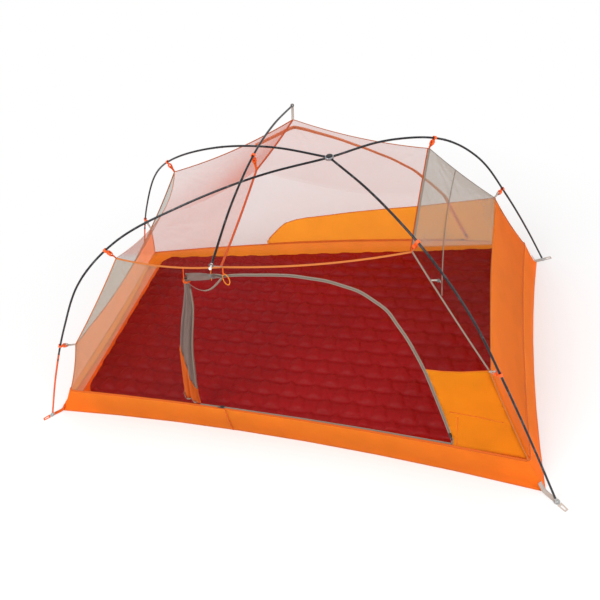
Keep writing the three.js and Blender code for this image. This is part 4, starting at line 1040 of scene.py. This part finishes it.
def centre_line(nodes):
    """The middle of a bent tube, from the rings of its solids, in order along x (or y for the ridge pole)."""
    pts = np.vstack([points_of(n) for n in nodes])
    span = pts.max(axis=0) - pts.min(axis=0)
    axis = int(np.argmax(span[:2]))
    pts = pts[np.argsort(pts[:, axis])]
    used = np.zeros(len(pts), bool)
    rings = []
    for i in range(len(pts)):
        if used[i]:
            continue
        close = (np.linalg.norm(pts - pts[i], axis=1) < 0.0115) & ~used
        used |= close
        if close.sum() >= 6:
            rings.append(pts[close].mean(axis=0))
    return np.array(rings)


POLE_RADIUS = 0.0044


def hollow_tube(line, radius, sides=14):
    return sweep(line, ring_profile(radius, sides), (0.3, 0.2, 1.0))


def build_leg(place, end, sections):
    nodes = [f"{place}_{end}_leg_section_{k + 1}" for k in range(sections)]
    for k, node in enumerate(nodes):
        line = centre_line([node])
        if end == "foot":
            line = line[::-1]
        line = resample(catmull(line, 8), 0.012)
        look = "orange_pole" if end == "foot" and k == sections - 1 else "pole"
        body = hollow_tube(line, POLE_RADIUS)
        parts = [body]
        for at in (0, -1):
            a, b = (line[0], line[1]) if at == 0 else (line[-1], line[-2])
            d = unit(b - a)
            if k or at:
                parts.append(hollow_tube(np.array([a - d * 0.0001, a + d * 0.002, a + d * 0.006, a + d * 0.0062]),
                                         POLE_RADIUS + 0.0004, 14))
        make(f"{node}_tube", *merge(parts)[:2], look, uvs=merge(parts)[2],
             slot="lowest_pole" if look == "orange_pole" else "pole", stands_for=[node])
    for node, look in ((f"{place}_{end}_leg_shock_cord", "shock"), (f"{place}_{end}_leg_foot_tip", "metal")):
        set_look(node, look)


def set_look(node, look, bevel=0.0):
    """A CAD node that is shown as it is: its own material, and rounded edges if asked."""
    obj = frame["nodes"][node]
    obj.data.materials.clear()
    obj.data.materials.append(MATERIALS[look])
    if bevel:
        weld = obj.modifiers.new("Weld", "WELD")
        weld.merge_threshold = 0.00002
        edge = obj.modifiers.new("Bevel", "BEVEL")
        edge.width = bevel
        edge.segments = 2
        edge.limit_method = "ANGLE"
        edge.angle_limit = math.radians(35)
    return obj


for place in SIDES:
    build_leg(place, "head", 3)
    build_leg(place, "foot", 4)
for place in SIDES:
    node = f"ridge_pole_{place}_section"
    line = resample(catmull(centre_line([node]), 8), 0.012)
    v, f, t = hollow_tube(line, POLE_RADIUS)
    make(f"{node}_tube", v, f, "pole", uvs=t, slot="pole", stands_for=[node])
    set_look(f"ridge_pole_{place}_tip", "white", 0.0004)
set_look("ridge_pole_shock_cord", "shock")
set_look("hub_body", "hub", 0.0006)
set_look("hub_cap", "black", 0.0005)
for place in SIDES:
    for end in ENDS:
        for kind in ("shoulder", "low"):
            set_look(f"{place}_{end}_{kind}_clip", "clip", 0.0006)
        set_look(f"{place}_{end}_stake_loop", "light_webbing" if end == "head" else "webbing", 0.0004)
    set_look(f"{place}_side_zip_slider", "black", 0.0005)
    set_look(f"{place}_sill_zip_slider", "black", 0.0005)
set_look("ridge_centre_clip", "clip", 0.0006)
set_look("gear_loop", "cord", 0.0005)
set_look("door_tie_toggle", "grey_plastic")
set_look("side_tie_bead", "grey_plastic", 0.0004)
set_look("pad_valve", "black", 0.0006)


# ---------------------------------------------------------------- quilted pad

CELL_X, CELL_Y = 0.1225, 0.0737
WELD = 0.094
PUFF = 0.017
QUILT_TURN = math.radians(-1.1)
QUILT_AXES = np.array([[math.cos(QUILT_TURN), math.sin(QUILT_TURN)], [-math.sin(QUILT_TURN), math.cos(QUILT_TURN)]])
QUILT_START = np.array([-0.053, 0.0386])
PAD_SIDE = 0.024
REAR_RISE = 0.008


def quilt_puff(flat):
    """The share of a full puff at each point, and its distance from the nearest welded dash. The dashes run along
    the pad in rows, each row half a cell on from the last, and a puff fills the space over each dash."""
    at = (flat - QUILT_START) @ QUILT_AXES.T
    near = np.round(at[:, 1] / CELL_Y)
    gap = np.full(len(flat), 1.0)
    for k in (near - 1, near, near + 1):
        x = at[:, 0] - 0.5 * CELL_X * (k % 2)
        x = np.abs(x - CELL_X * np.round(x / CELL_X))
        gap = np.minimum(gap, np.hypot(np.clip(x - WELD / 2, 0, None), at[:, 1] - k * CELL_Y))
    row = np.floor(at[:, 1] / CELL_Y)
    up = at[:, 1] / CELL_Y - row
    column = (at[:, 0] - 0.5 * CELL_X * (row % 2)) / CELL_X
    across = (column - np.round(column)) * CELL_X
    vary = np.sin(row * 12.9898 + np.round(column) * 78.233) * 43758.5453
    vary = vary - np.floor(vary)
    width = 0.042 - 0.014 * up
    body = np.exp(-(np.abs(across) / width) ** 3.2)
    rise = np.clip(up / 0.26, 0, 1) ** 0.5 * (1 - 0.38 * np.clip((up - 0.3) / 0.7, 0, 1) ** 1.6)
    weld = np.clip(gap / 0.012, 0, 1) ** 0.5
    low = 0.40 * np.clip(gap / 0.022, 0, 1) ** 0.6
    return np.clip(np.maximum(body * rise * (0.82 + 0.18 * vary), low), 0, 1) * weld, gap


def inflate(rest, tris, pinned, cap):
    """Where a sheet goes that is welded down at its pinned points, a little larger than its outline, and blown up
    from below. No point moves further than the cap."""
    mesh = bpy.data.meshes.new("pad_sheet")
    mesh.from_pydata(rest.tolist(), [], [tuple(t) for t in tris])
    sheet = bpy.data.objects.new("pad_sheet", mesh)
    scene.collection.objects.link(sheet)
    welds = sheet.vertex_groups.new(name="welds")
    welds.add([int(i) for i in np.flatnonzero(pinned)], 1.0, "REPLACE")
    cloth = sheet.modifiers.new("Cloth", "CLOTH")
    fabric = cloth.settings
    fabric.quality = 4
    fabric.mass = 0.002
    fabric.tension_stiffness = fabric.compression_stiffness = 15
    fabric.shear_stiffness = 7.5
    fabric.bending_stiffness = 0.02
    fabric.vertex_group_mass = "welds"
    fabric.use_pressure = True
    fabric.uniform_pressure_force = 40
    fabric.shrink_min = -0.02
    fabric.effector_weights.gravity = 0
    cloth.collision_settings.use_collision = False
    cloth.point_cache.frame_end = 10
    for step in range(1, 11):
        scene.frame_set(step)
    blown = sheet.evaluated_get(bpy.context.evaluated_depsgraph_get()).to_mesh()
    co = np.empty(len(blown.vertices) * 3)
    blown.vertices.foreach_get("co", co)
    bpy.data.objects.remove(sheet)
    scene.frame_set(1)
    move = co.reshape(-1, 3) - rest
    length = np.linalg.norm(move, axis=1)
    return rest + move * np.minimum(1.0, cap / np.maximum(length, 1e-9))[:, None]


def build_pad():
    hull = convex_hull(points_of("quilted_pad")[:, XY])
    low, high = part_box("quilted_pad")
    mid = (low.z + high.z) / 2
    half = (high.z - low.z) / 2
    ring = resample(hull, 0.009, closed=True)
    edges = [(hull[i], unit(hull[(i + 1) % len(hull)] - hull[i])) for i in range(len(hull))]

    def depth(p):
        return np.min([(p[:, 1] - a[1]) * d[0] - (p[:, 0] - a[0]) * d[1] for a, d in edges], axis=0)

    def rounded(d):
        return np.sqrt(np.clip(1 - (1 - np.clip(d / PAD_SIDE, 0, 1)) ** 2, 0, 1))
    step = np.array([CELL_X / 16, CELL_Y / 10])
    i, j = np.meshgrid(np.arange(-200, 200), np.arange(-200, 200))
    grid = np.stack([i.ravel(), j.ravel()], axis=1) * step @ QUILT_AXES + QUILT_START
    grid = grid[depth(grid) > step[0] * 0.6]
    coords = [Vector(p) for p in np.vstack([ring, grid])]
    co, _, tris, _, _, _ = delaunay_2d_cdt(coords, [], [list(range(len(ring)))], 1, 1e-6)
    flat = np.array([(p[0], p[1]) for p in co])
    d = np.clip(depth(flat), 0, None)
    puff, gap = quilt_puff(flat)
    top = mid + (half - PUFF) * rounded(d) + PUFF * puff * np.clip(d / 0.03, 0, 1)
    behind = hull[np.argsort(-hull[:, 1])[:2]]
    rear = np.interp(flat[:, 0], *behind[np.argsort(behind[:, 0])].T) - flat[:, 1]
    top = top + REAR_RISE * np.clip(1 - rear / 0.09, 0, 1) ** 1.5 * np.clip(d / 0.012, 0, 1)
    upper = np.column_stack([flat, top])
    a, b, c = tris[0]
    if np.cross(flat[b] - flat[a], flat[c] - flat[a]) < 0:
        tris = [tuple(reversed(t)) for t in tris]
    upper = inflate(upper, tris, (gap < 0.0002) | (d < 0.02), 0.012)
    upper[:, 2] = np.minimum(upper[:, 2], high.z + 0.009)
    count = len(ring)
    rough = np.arange(-1.2, 1.2, 0.05)
    under = np.array([(x, y) for x in rough for y in rough])
    under = np.vstack([under[depth(under) > 0.045]] + [ring + (hull.mean(axis=0) - ring) * f for f in (0.008, 0.025, 0.05)])
    coords = [Vector(p) for p in np.vstack([ring, under])]
    co, _, below, _, _, _ = delaunay_2d_cdt(coords, [], [list(range(count))], 1, 1e-6)
    flat = np.array([(p[0], p[1]) for p in co])
    lower = np.column_stack([flat, mid - half * np.clip(rounded(np.clip(depth(flat), 0, None)) * 1.04, 0, 1)])
    start = len(upper)
    where = [i if i < count else i + start - count for i in range(len(lower))]
    verts = np.vstack([upper, lower[count:]])
    a, b, c = below[0]
    if np.cross(flat[b] - flat[a], flat[c] - flat[a]) > 0:
        below = [tuple(reversed(t)) for t in below]
    faces = [tuple(t) for t in tris] + [tuple(where[i] for i in t) for t in below]
    make("pad_cover", verts, faces, "pad", uvs=verts[:, :2], slot="pad_fabric", stands_for=["quilted_pad"])


def zip_teeth(name, line, normals, body="tent"):
    """Two rows of interlocking teeth down the middle of a zip's tape."""
    tangent, side, normal = frames_along(line, normals)
    verts, faces = [], []
    corners = np.array([(x, y, z) for x in (-1, 1) for y in (-1, 1) for z in (-1, 1)], float)
    quads = [(0, 1, 3, 2), (4, 6, 7, 5), (0, 4, 5, 1), (2, 3, 7, 6), (0, 2, 6, 4), (1, 5, 7, 3)]
    for k in range(len(line)):
        hand = 1 if k % 2 else -1
        centre = line[k] + side[k] * hand * 0.0008 + normal[k] * 0.0018
        box = (corners[:, :1] * tangent[k] * 0.0012 + corners[:, 1:2] * side[k] * 0.0017
               + corners[:, 2:] * normal[k] * 0.0006)
        faces += [tuple(i + 8 * k for i in q) for q in quads]
        verts.append(centre + box)
    verts = np.vstack(verts)
    make(name, verts, faces, "zip", uvs=verts[:, :2], smooth=False, body=body, slot="zip_metal")


def build_zips():
    for place in SIDES:
        arch, n = on_wall(place, dense(np.vstack([ZIP_ARCH[::-1]]), 0.008))
        sill, m = on_wall(place, dense([ZIP_FOOT, ZIP_CORNER, ZIP_ARCH[0]], 0.008))
        look = "grey_tape" if place == "front" else "tan_tape"
        width = 0.012 if place == "front" else 0.018
        tape_on(f"{place}_arch_zip_tape", arch, n, width, look, rise=0.0008, crown=0.0003, slot="webbing")
        tape_on(f"{place}_sill_zip_tape", sill, m, 0.008, look, rise=0.0008, crown=0.0003, slot="webbing")
        for name, rows, normals in (("arch", arch, n), ("sill", sill, m)):
            pair = resample(np.hstack([rows, normals]), 0.0034)
            zip_teeth(f"{place}_{name}_zip_teeth", pair[:, :3], unit(pair[:, 3:]))


def build_seams():
    """Stitched lines on the solid panels."""
    lines = {"front": [FRONT_PANEL_TOP[:5], [(0.784, 0.318), (0.88, 0.311), (0.977, 0.299)], [(0.815, 0.297), (0.812, 0.151)]],
             "rear": [SWOOSH_TOP[1:]]}
    for place, rows in lines.items():
        for k, pairs in enumerate(rows):
            pairs = dense(pairs, 0.01)
            on_door = inside(pairs, DOORWAY) & (place == "rear")
            for part, run in enumerate(np.split(np.arange(len(pairs)), np.flatnonzero(np.diff(on_door)) + 1)):
                pts, n = on_wall(place, pairs[run])
                tape_on(f"{place}_panel_seam_{k + 1}_{part + 1}", pts, n, 0.0045, "panel_tape", 0.0008, 0.0007, 0.0003,
                        slot="webbing", body="rear_door" if on_door[run[0]] else "tent")


# ---------------------------------------------------------------- webbing, straps and cords

def clip_strap(clip, anchor, look, width=0.0095):
    """Webbing sewn to the canopy at the anchor and looped through the clip's ring."""
    pole = joint_pos(f"{clip}_turn")
    along = joint_axis(f"{clip}_turn")
    towards = anchor - pole
    towards = unit(towards - along * np.dot(towards, along))
    across = unit(np.cross(along, towards))
    steps = [(0.046, 0.0006), (0.038, 0.0010), (0.031, 0.0058), (0.0275, 0.0072), (0.0236, 0.0066), (0.0229, 0.0)]
    loop = steps + [(s, -o) for s, o in reversed(steps[:-1])]
    reach = np.linalg.norm(anchor - pole)
    line = [pole + towards * min(s, reach - 0.002) + along * o for s, o in loop]
    line = [anchor + (line[0] - anchor) * 0.03, *line]
    v, f, t = ribbon(resample(catmull(line, 6), 0.0015), across, width)
    strap = make(clip.replace("clip", "strap"), v, f, look, uvs=t, body=None, slot="webbing")
    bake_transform(strap)


def build_straps():
    for place in SIDES:
        for end in ENDS:
            clip_strap(f"{place}_{end}_shoulder_clip", SHOULDER[end, place], "webbing")
            clip_strap(f"{place}_{end}_low_clip", LOW[end, place], "light_webbing")
    clip_strap("ridge_centre_clip", ROOF_CENTRE, "webbing")


def build_corners():
    """Each bottom corner's strap, with its grommet on the pole's tip."""
    for place, side in SIDES.items():
        for end in ENDS:
            tip = points_of(f"{place}_{end}_leg_foot_tip")
            foot = tip[np.argmin(tip[:, 2])] * [1, 1, 0]
            level = FLOOR_RING[np.argsort(np.linalg.norm(FLOOR_RING - foot, axis=1))[:2]]
            base = level.mean(axis=0) * [1, 1, 0]
            out = unit(foot - base)
            across = np.array([-out[1], out[0], 0.0])
            look = "light_webbing" if end == "head" else "webbing"
            top = TUB[end, place]
            climb = unit(top - base)
            line = [base + climb * 0.045 + out * 0.0035, base + climb * 0.02 + out * 0.004, base + out * 0.003 + UP * 0.0045,
                    base + out * 0.012 + UP * 0.0025, foot - out * 0.010 + UP * 0.0022]
            v, f, t = ribbon(resample(catmull(line, 6), 0.003), across, 0.018, 0.0016)
            make(f"{place}_{end}_corner_strap", v, f, look, uvs=t, slot="webbing")
            v, f, t = washer(foot + UP * 0.0021, UP, 0.0042, 0.0122, 0.0011)
            make(f"{place}_{end}_grommet", v, f, "metal", uvs=t, slot="webbing", smooth=False)


def build_apexes():
    for place, side in SIDES.items():
        tip = points_of(f"ridge_pole_{place}_tip")
        order = np.argsort(tip[:, 1] * side)
        outer, inner = tip[order[-6:]].mean(axis=0), tip[order[:6]].mean(axis=0)
        along = unit(inner - outer)
        ring = outer + along * 0.016
        v, f, t = washer(ring, along, 0.0040, 0.0085, 0.0012)
        make(f"{place}_apex_grommet", v, f, "grey_plastic", uvs=t, slot="webbing", smooth=False)
        foot = APEX[place] - np.array([0, 0, 0.004])
        down = unit(foot - ring)
        line = [ring + down * 0.0062, ring + down * 0.02, foot + np.array([0, -side * 0.004, 0.004])]
        v, f, t = ribbon(resample(line, 0.004), (1.0, 0.0, 0.0), 0.012, 0.0014)
        make(f"{place}_apex_strap", v, f, "light_webbing", uvs=t, slot="webbing")


def cord_piece(name, line, radius, look, body="tent"):
    v, f, t = sweep(resample(catmull(line, 8), 0.003), ring_profile(radius, 8), (0.3, 0.5, 0.8))
    make(name, v, f, look, uvs=t, body=body, slot="cord")


def build_cords():
    loop = points_of("gear_loop")
    top = loop[np.argmax(loop[:, 2])]
    roof = edge_line(roof_edge("front"), 300)
    seam = roof[np.argmin(np.abs(roof[:, 0] - top[0]))]
    v, f, t = ribbon(resample([seam, (seam + top) / 2 + [0, -0.003, 0], top + [0, 0, -0.003]], 0.003),
                     (1.0, 0.0, 0.0), 0.005)
    make("gear_loop_tab", v, f, "webbing", uvs=t, slot="webbing")
    toggle = points_of("door_tie_toggle").mean(axis=0)
    seam = roof[np.argmin(np.abs(roof[:, 0] - toggle[0]))]
    cord_piece("toggle_cord", [seam, (seam + toggle) / 2, toggle, toggle - [0, 0, 0.014], toggle - [0.002, 0, 0.02]],
               0.0012, "cord")
    low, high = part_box("side_tie_bead")
    bead = np.array((low + high) / 2)
    run = joint_axis("tie_bead_run")
    line = [bead - run * 0.028 - np.array([0.008, 0, 0.004]), bead - run * 0.012, bead, bead + run * 0.014,
            bead + run * 0.03 - np.array([0.008, 0, 0.004])]
    v, f, t = ribbon(resample(catmull(line, 6), 0.002), np.cross(run, (0.82, -0.05, 0.57)), 0.0055)
    make("side_tie_strap", v, f, "light_webbing", uvs=t, slot="webbing")


# ---------------------------------------------------------------- front door, rolled and tied back

DROP = [0.0, 0.05, 0.10, 0.20, 0.30, 0.56, 0.79, 0.92, 1.0]
SHIFT = [0.000, 0.000, 0.002, -0.002, -0.009, -0.026, -0.035, -0.035, -0.027]
HALF = [0.007, 0.010, 0.013, 0.021, 0.025, 0.026, 0.027, 0.029, 0.027]
DEPTH = [0.006, 0.010, 0.013, 0.016, 0.018, 0.019, 0.020, 0.018, 0.010]


def door_frame():
    """The sewn edge's top and foot, the way along the wall and the way out of it."""
    top = joint_pos("front_door_swing")
    axis = joint_axis("front_door_swing")
    axis = axis if axis[2] > 0 else -axis
    roll = points_of("front_door_roll")
    foot = top - axis * (top[2] - roll[:, 2].min() - 0.020) / axis[2]
    along = unit(np.array([1.0, 0, 0]) - axis * axis[0])
    out = np.cross(axis, along)
    return top, foot, along, out if out[1] < 0 else -out


def bundle_point(drop, angle):
    """A point of the gathered door: angle 0 is its head side, a quarter turn its outer face."""
    top, foot, along, out = door_frame()
    drop = np.asarray(drop, float)
    slant = 0.045 * (1 - np.cos(angle)) * np.clip((drop - 0.6) / 0.4, 0, 1) ** 2
    t = drop - slant
    shift = np.interp(t, DROP, SHIFT)
    half = np.interp(t, DROP, HALF)
    depth = np.interp(t, DROP, DEPTH)
    pleat = 0.16 * np.sin(5 * angle + 3.0 * t) + 0.10 * np.sin(9 * angle - 5.0 * t + 1.0)
    pleat = pleat * np.clip(t / 0.12, 0.3, 1)
    wave = 0.004 * np.sin(9 * t + 0.5) * np.clip(t / 0.2, 0, 1)
    x = np.cos(angle) * half * (1 + 0.25 * pleat) + wave
    y = np.sin(angle) * depth * (1 + pleat) + 0.35 * depth * pleat
    centre = top + (foot - top) * t[..., None] + along * shift[..., None] + out * (depth + 0.005)[..., None]
    return centre + along * x[..., None] + out * y[..., None]


def cloth_edge(drop):
    """How far across the bundle, as a cosine, the orange panel reaches at each drop."""
    return (np.asarray(drop) - 0.47) / 0.40 * 2.1 - 1.05


def build_bundle():
    drops = np.linspace(0.02, 1.0, 90)
    angles = np.linspace(0, 2 * math.pi, 72, endpoint=False)
    d, a = np.meshgrid(drops, angles, indexing="ij")
    verts = bundle_point(d.ravel(), a.ravel())
    uvs = np.column_stack([a.ravel() * 0.03, d.ravel() * 0.75])
    net, cloth = [], []
    for face in grid_faces(len(drops), len(angles), close_columns=True):
        at_drop = np.mean([d.ravel()[i] for i in face])
        across = np.cos(a.ravel()[face[0]] + 0.04)
        (cloth if across < cloth_edge(at_drop) else net).append(face)
    # the gathered orange panel takes the darker copy of the panel nylon: painted shade
    for name, faces, look, out, more in (("front_door_gathered_netting", net, "door_net", 0.0, True),
                                         ("front_door_gathered_panel", cloth, "bundle_painted_shade_panel", 0.0016, False)):
        used = sorted({i for f in faces for i in f})
        where = {old: new for new, old in enumerate(used)}
        v, f = verts[used], [tuple(where[i] for i in q) for q in faces]
        v = v + face_normals_to_verts(v, f) * out
        v, f, t = thicken(v, f, uvs[used], 0.0012)
        make(name, v, f, look, uvs=t, body="front_door", slot="canopy_fabric",
             stands_for=["front_door_roll"] if more else ())
    _, _, along, out = door_frame()
    edge = np.linspace(0.08, 0.985, 80)
    line = bundle_point(edge, np.full(80, 0.35))
    tape_on("front_door_edge_tape", line, unit(line - bundle_point(edge, np.full(80, 3.5))), 0.007, "grey_tape",
            body="front_door", slot="webbing")
    split = np.linspace(0.49, 0.85, 50)
    turn = np.arccos(np.clip(cloth_edge(split), -1, 1))
    line = bundle_point(split, turn) + out * 0.0022
    tape_on("front_door_panel_hem", line, np.broadcast_to(out, line.shape), 0.0045, "tub_tape", body="front_door",
            slot="webbing")
    turn = np.linspace(3.5, 0.9, 60)
    line = bundle_point(np.full(60, 0.985), turn)
    middle = line.mean(axis=0)
    line = line + unit(line - middle) * 0.004 + out * 0.005
    v, f, t = ribbon(line, unit(np.array([0.05, -0.3, 1.0])), 0.009)
    make("front_door_sill_zip", v, f, "grey_tape", uvs=t, body="front_door", slot="webbing")


def build_door_tie():
    turn = np.linspace(0, 2 * math.pi, 40, endpoint=False)
    top, foot, along, out = door_frame()
    centre = bundle_point(np.full(40, 0.035), turn).mean(axis=0)
    down = unit(foot - top)
    rows = []
    for height in (-0.0045, 0.0045):
        for grow in (0.0015, 0.0032):
            rows.append(centre + down * height + along * np.cos(turn)[:, None] * (0.0115 + grow)
                        + out * np.sin(turn)[:, None] * (0.0105 + grow))
    verts = np.vstack([rows[0], rows[1], rows[3], rows[2]])
    make("front_door_tie_band", verts, grid_faces(4, 40, close_rows=True, close_columns=True), "webbing",
         uvs=verts[:, ::2], body="front_door", slot="tie_band", stands_for=["front_door_tie"])
    roof = edge_line(roof_edge("front"), 300)
    seam = roof[np.argmin(np.abs(roof[:, 0] - centre[0] + 0.01))]
    cord_piece("front_door_tie_cord", [seam, (seam + centre) / 2 + out * 0.012, centre + out * 0.019], 0.0018, "webbing")


def build_door_flap():
    """The slack netting between the tied door and the zip's top, with the loose end of the zip hanging under it."""
    top, foot, along, out = door_frame()
    start = bundle_point(np.array([0.03]), np.array([0.6]))[0]
    arch, n = on_wall("front", ZIP_ARCH[::-1])
    arch = arch[np.argsort(arch[:, 0])]
    end = arch[np.argmin(np.abs(arch[:, 0] - 0.022))] + out * 0.004
    rows = 10
    k = np.linspace(0, 1, 30)
    upper = top * (1 - k[:, None]) + end * k[:, None] + out * 0.003 + UP * (0.010 * np.sin(math.pi * k))[:, None]
    lower = start * (1 - k[:, None]) + end * k[:, None] - UP * (0.006 * np.sin(math.pi * k))[:, None]
    verts = []
    for w in np.linspace(0, 1, rows):
        swell = out * (0.006 * math.sin(math.pi * w) * np.sin(2.5 * math.pi * k + 1.5 * w))[:, None]
        verts.append(upper * (1 - w) + lower * w + swell)
    verts = np.vstack(verts)
    uv = verts[:, ::2]
    v, f, t = thicken(verts, grid_faces(rows, 30), uv, 0.0008)
    make("front_door_slack_netting", v, f, "door_net", uvs=t, slot="canopy_fabric")
    sag = start * (1 - k[:, None]) + end * k[:, None] - UP * (0.052 * np.sin(math.pi * k ** 0.8))[:, None] + out * 0.006
    v, f, t = ribbon(sag, unit(np.array([0.1, -0.55, 0.8])), 0.012)
    make("front_door_hanging_zip", v, f, "grey_tape", uvs=t, slot="webbing")


def stage_floor():
    size = 8.0
    v = [(-size, -size, -0.001), (size, -size, -0.001), (size, size, -0.001), (-size, size, -0.001)]
    g = Graph("stage_look")
    tone = g.mix(g.noise(0.6), (0.93, 0.93, 0.93), (0.95, 0.95, 0.95))
    away = g.node("ShaderNodeVectorMath", {0: g.coords()}, operation="LENGTH").outputs["Value"]
    glow = g.node("ShaderNodeEmission", {"Color": (1.0, 1.0, 1.0), "Strength": 1.0}).outputs[0]
    lit = g.principled(Base_Color=tone, Roughness=0.9)
    MATERIALS["stage"] = g.done(g.mix_shader(g.ramp(away, 0.9, 2.1), lit, glow))
    floor = make("stage_floor", v, [(0, 1, 2, 3)], "stage", body=None)


def area_light(name, location, target, size, energy, colour=(1, 1, 1)):
    data = bpy.data.lights.new(name, "AREA")
    data.size = size
    data.energy = energy
    data.color = colour
    obj = bpy.data.objects.new(name, data)
    scene.collection.objects.link(obj)
    obj.location = location
    obj.rotation_euler = (Vector(target) - Vector(location)).to_track_quat("-Z", "Y").to_euler()
    return obj


def light_and_camera():
    world = bpy.data.worlds.new("studio")
    scene.world = world
    world.use_nodes = True
    tree = world.node_tree
    backdrop = tree.nodes["Background"]
    backdrop.inputs["Color"].default_value = (1.0, 1.0, 1.0, 1.0)
    strength = tree.nodes.new("ShaderNodeMapRange")
    strength.inputs["To Min"].default_value = 0.75
    strength.inputs["To Max"].default_value = 1.0
    tree.links.new(tree.nodes.new("ShaderNodeLightPath").outputs["Is Camera Ray"], strength.inputs["Value"])
    tree.links.new(strength.outputs["Result"], backdrop.inputs["Strength"])
    area_light("key", (-1.6, -3.2, 4.2), (0, 0, 0.3), 2.6, 120)
    area_light("fill", (3.4, -1.5, 2.6), (0.2, 0, 0.3), 2.4, 45)
    camera = bpy.data.cameras.new("camera")
    camera.sensor_width = 36.0
    camera.lens = 35.504
    camera.clip_start = 0.05
    obj = bpy.data.objects.new("camera", camera)
    scene.collection.objects.link(obj)
    forward = Vector((-0.297, 0.670, -0.681)).normalized()
    up = Vector((-0.038, 0.704, 0.709))
    right = forward.cross(up).normalized()
    up = right.cross(forward)
    obj.matrix_world = Matrix(((right.x, up.x, -forward.x, 0.892), (right.y, up.y, -forward.y, -1.876),
                               (right.z, up.z, -forward.z, 2.230), (0, 0, 0, 1)))
    scene.camera = obj
    scene.view_settings.view_transform = "Standard"
    scene.cycles.transparent_max_bounces = 24


build_pad()
build_zips()
build_seams()
build_straps()
build_corners()
build_apexes()
build_cords()
build_bundle()
build_door_tie()
build_door_flap()
stage_floor()
light_and_camera()
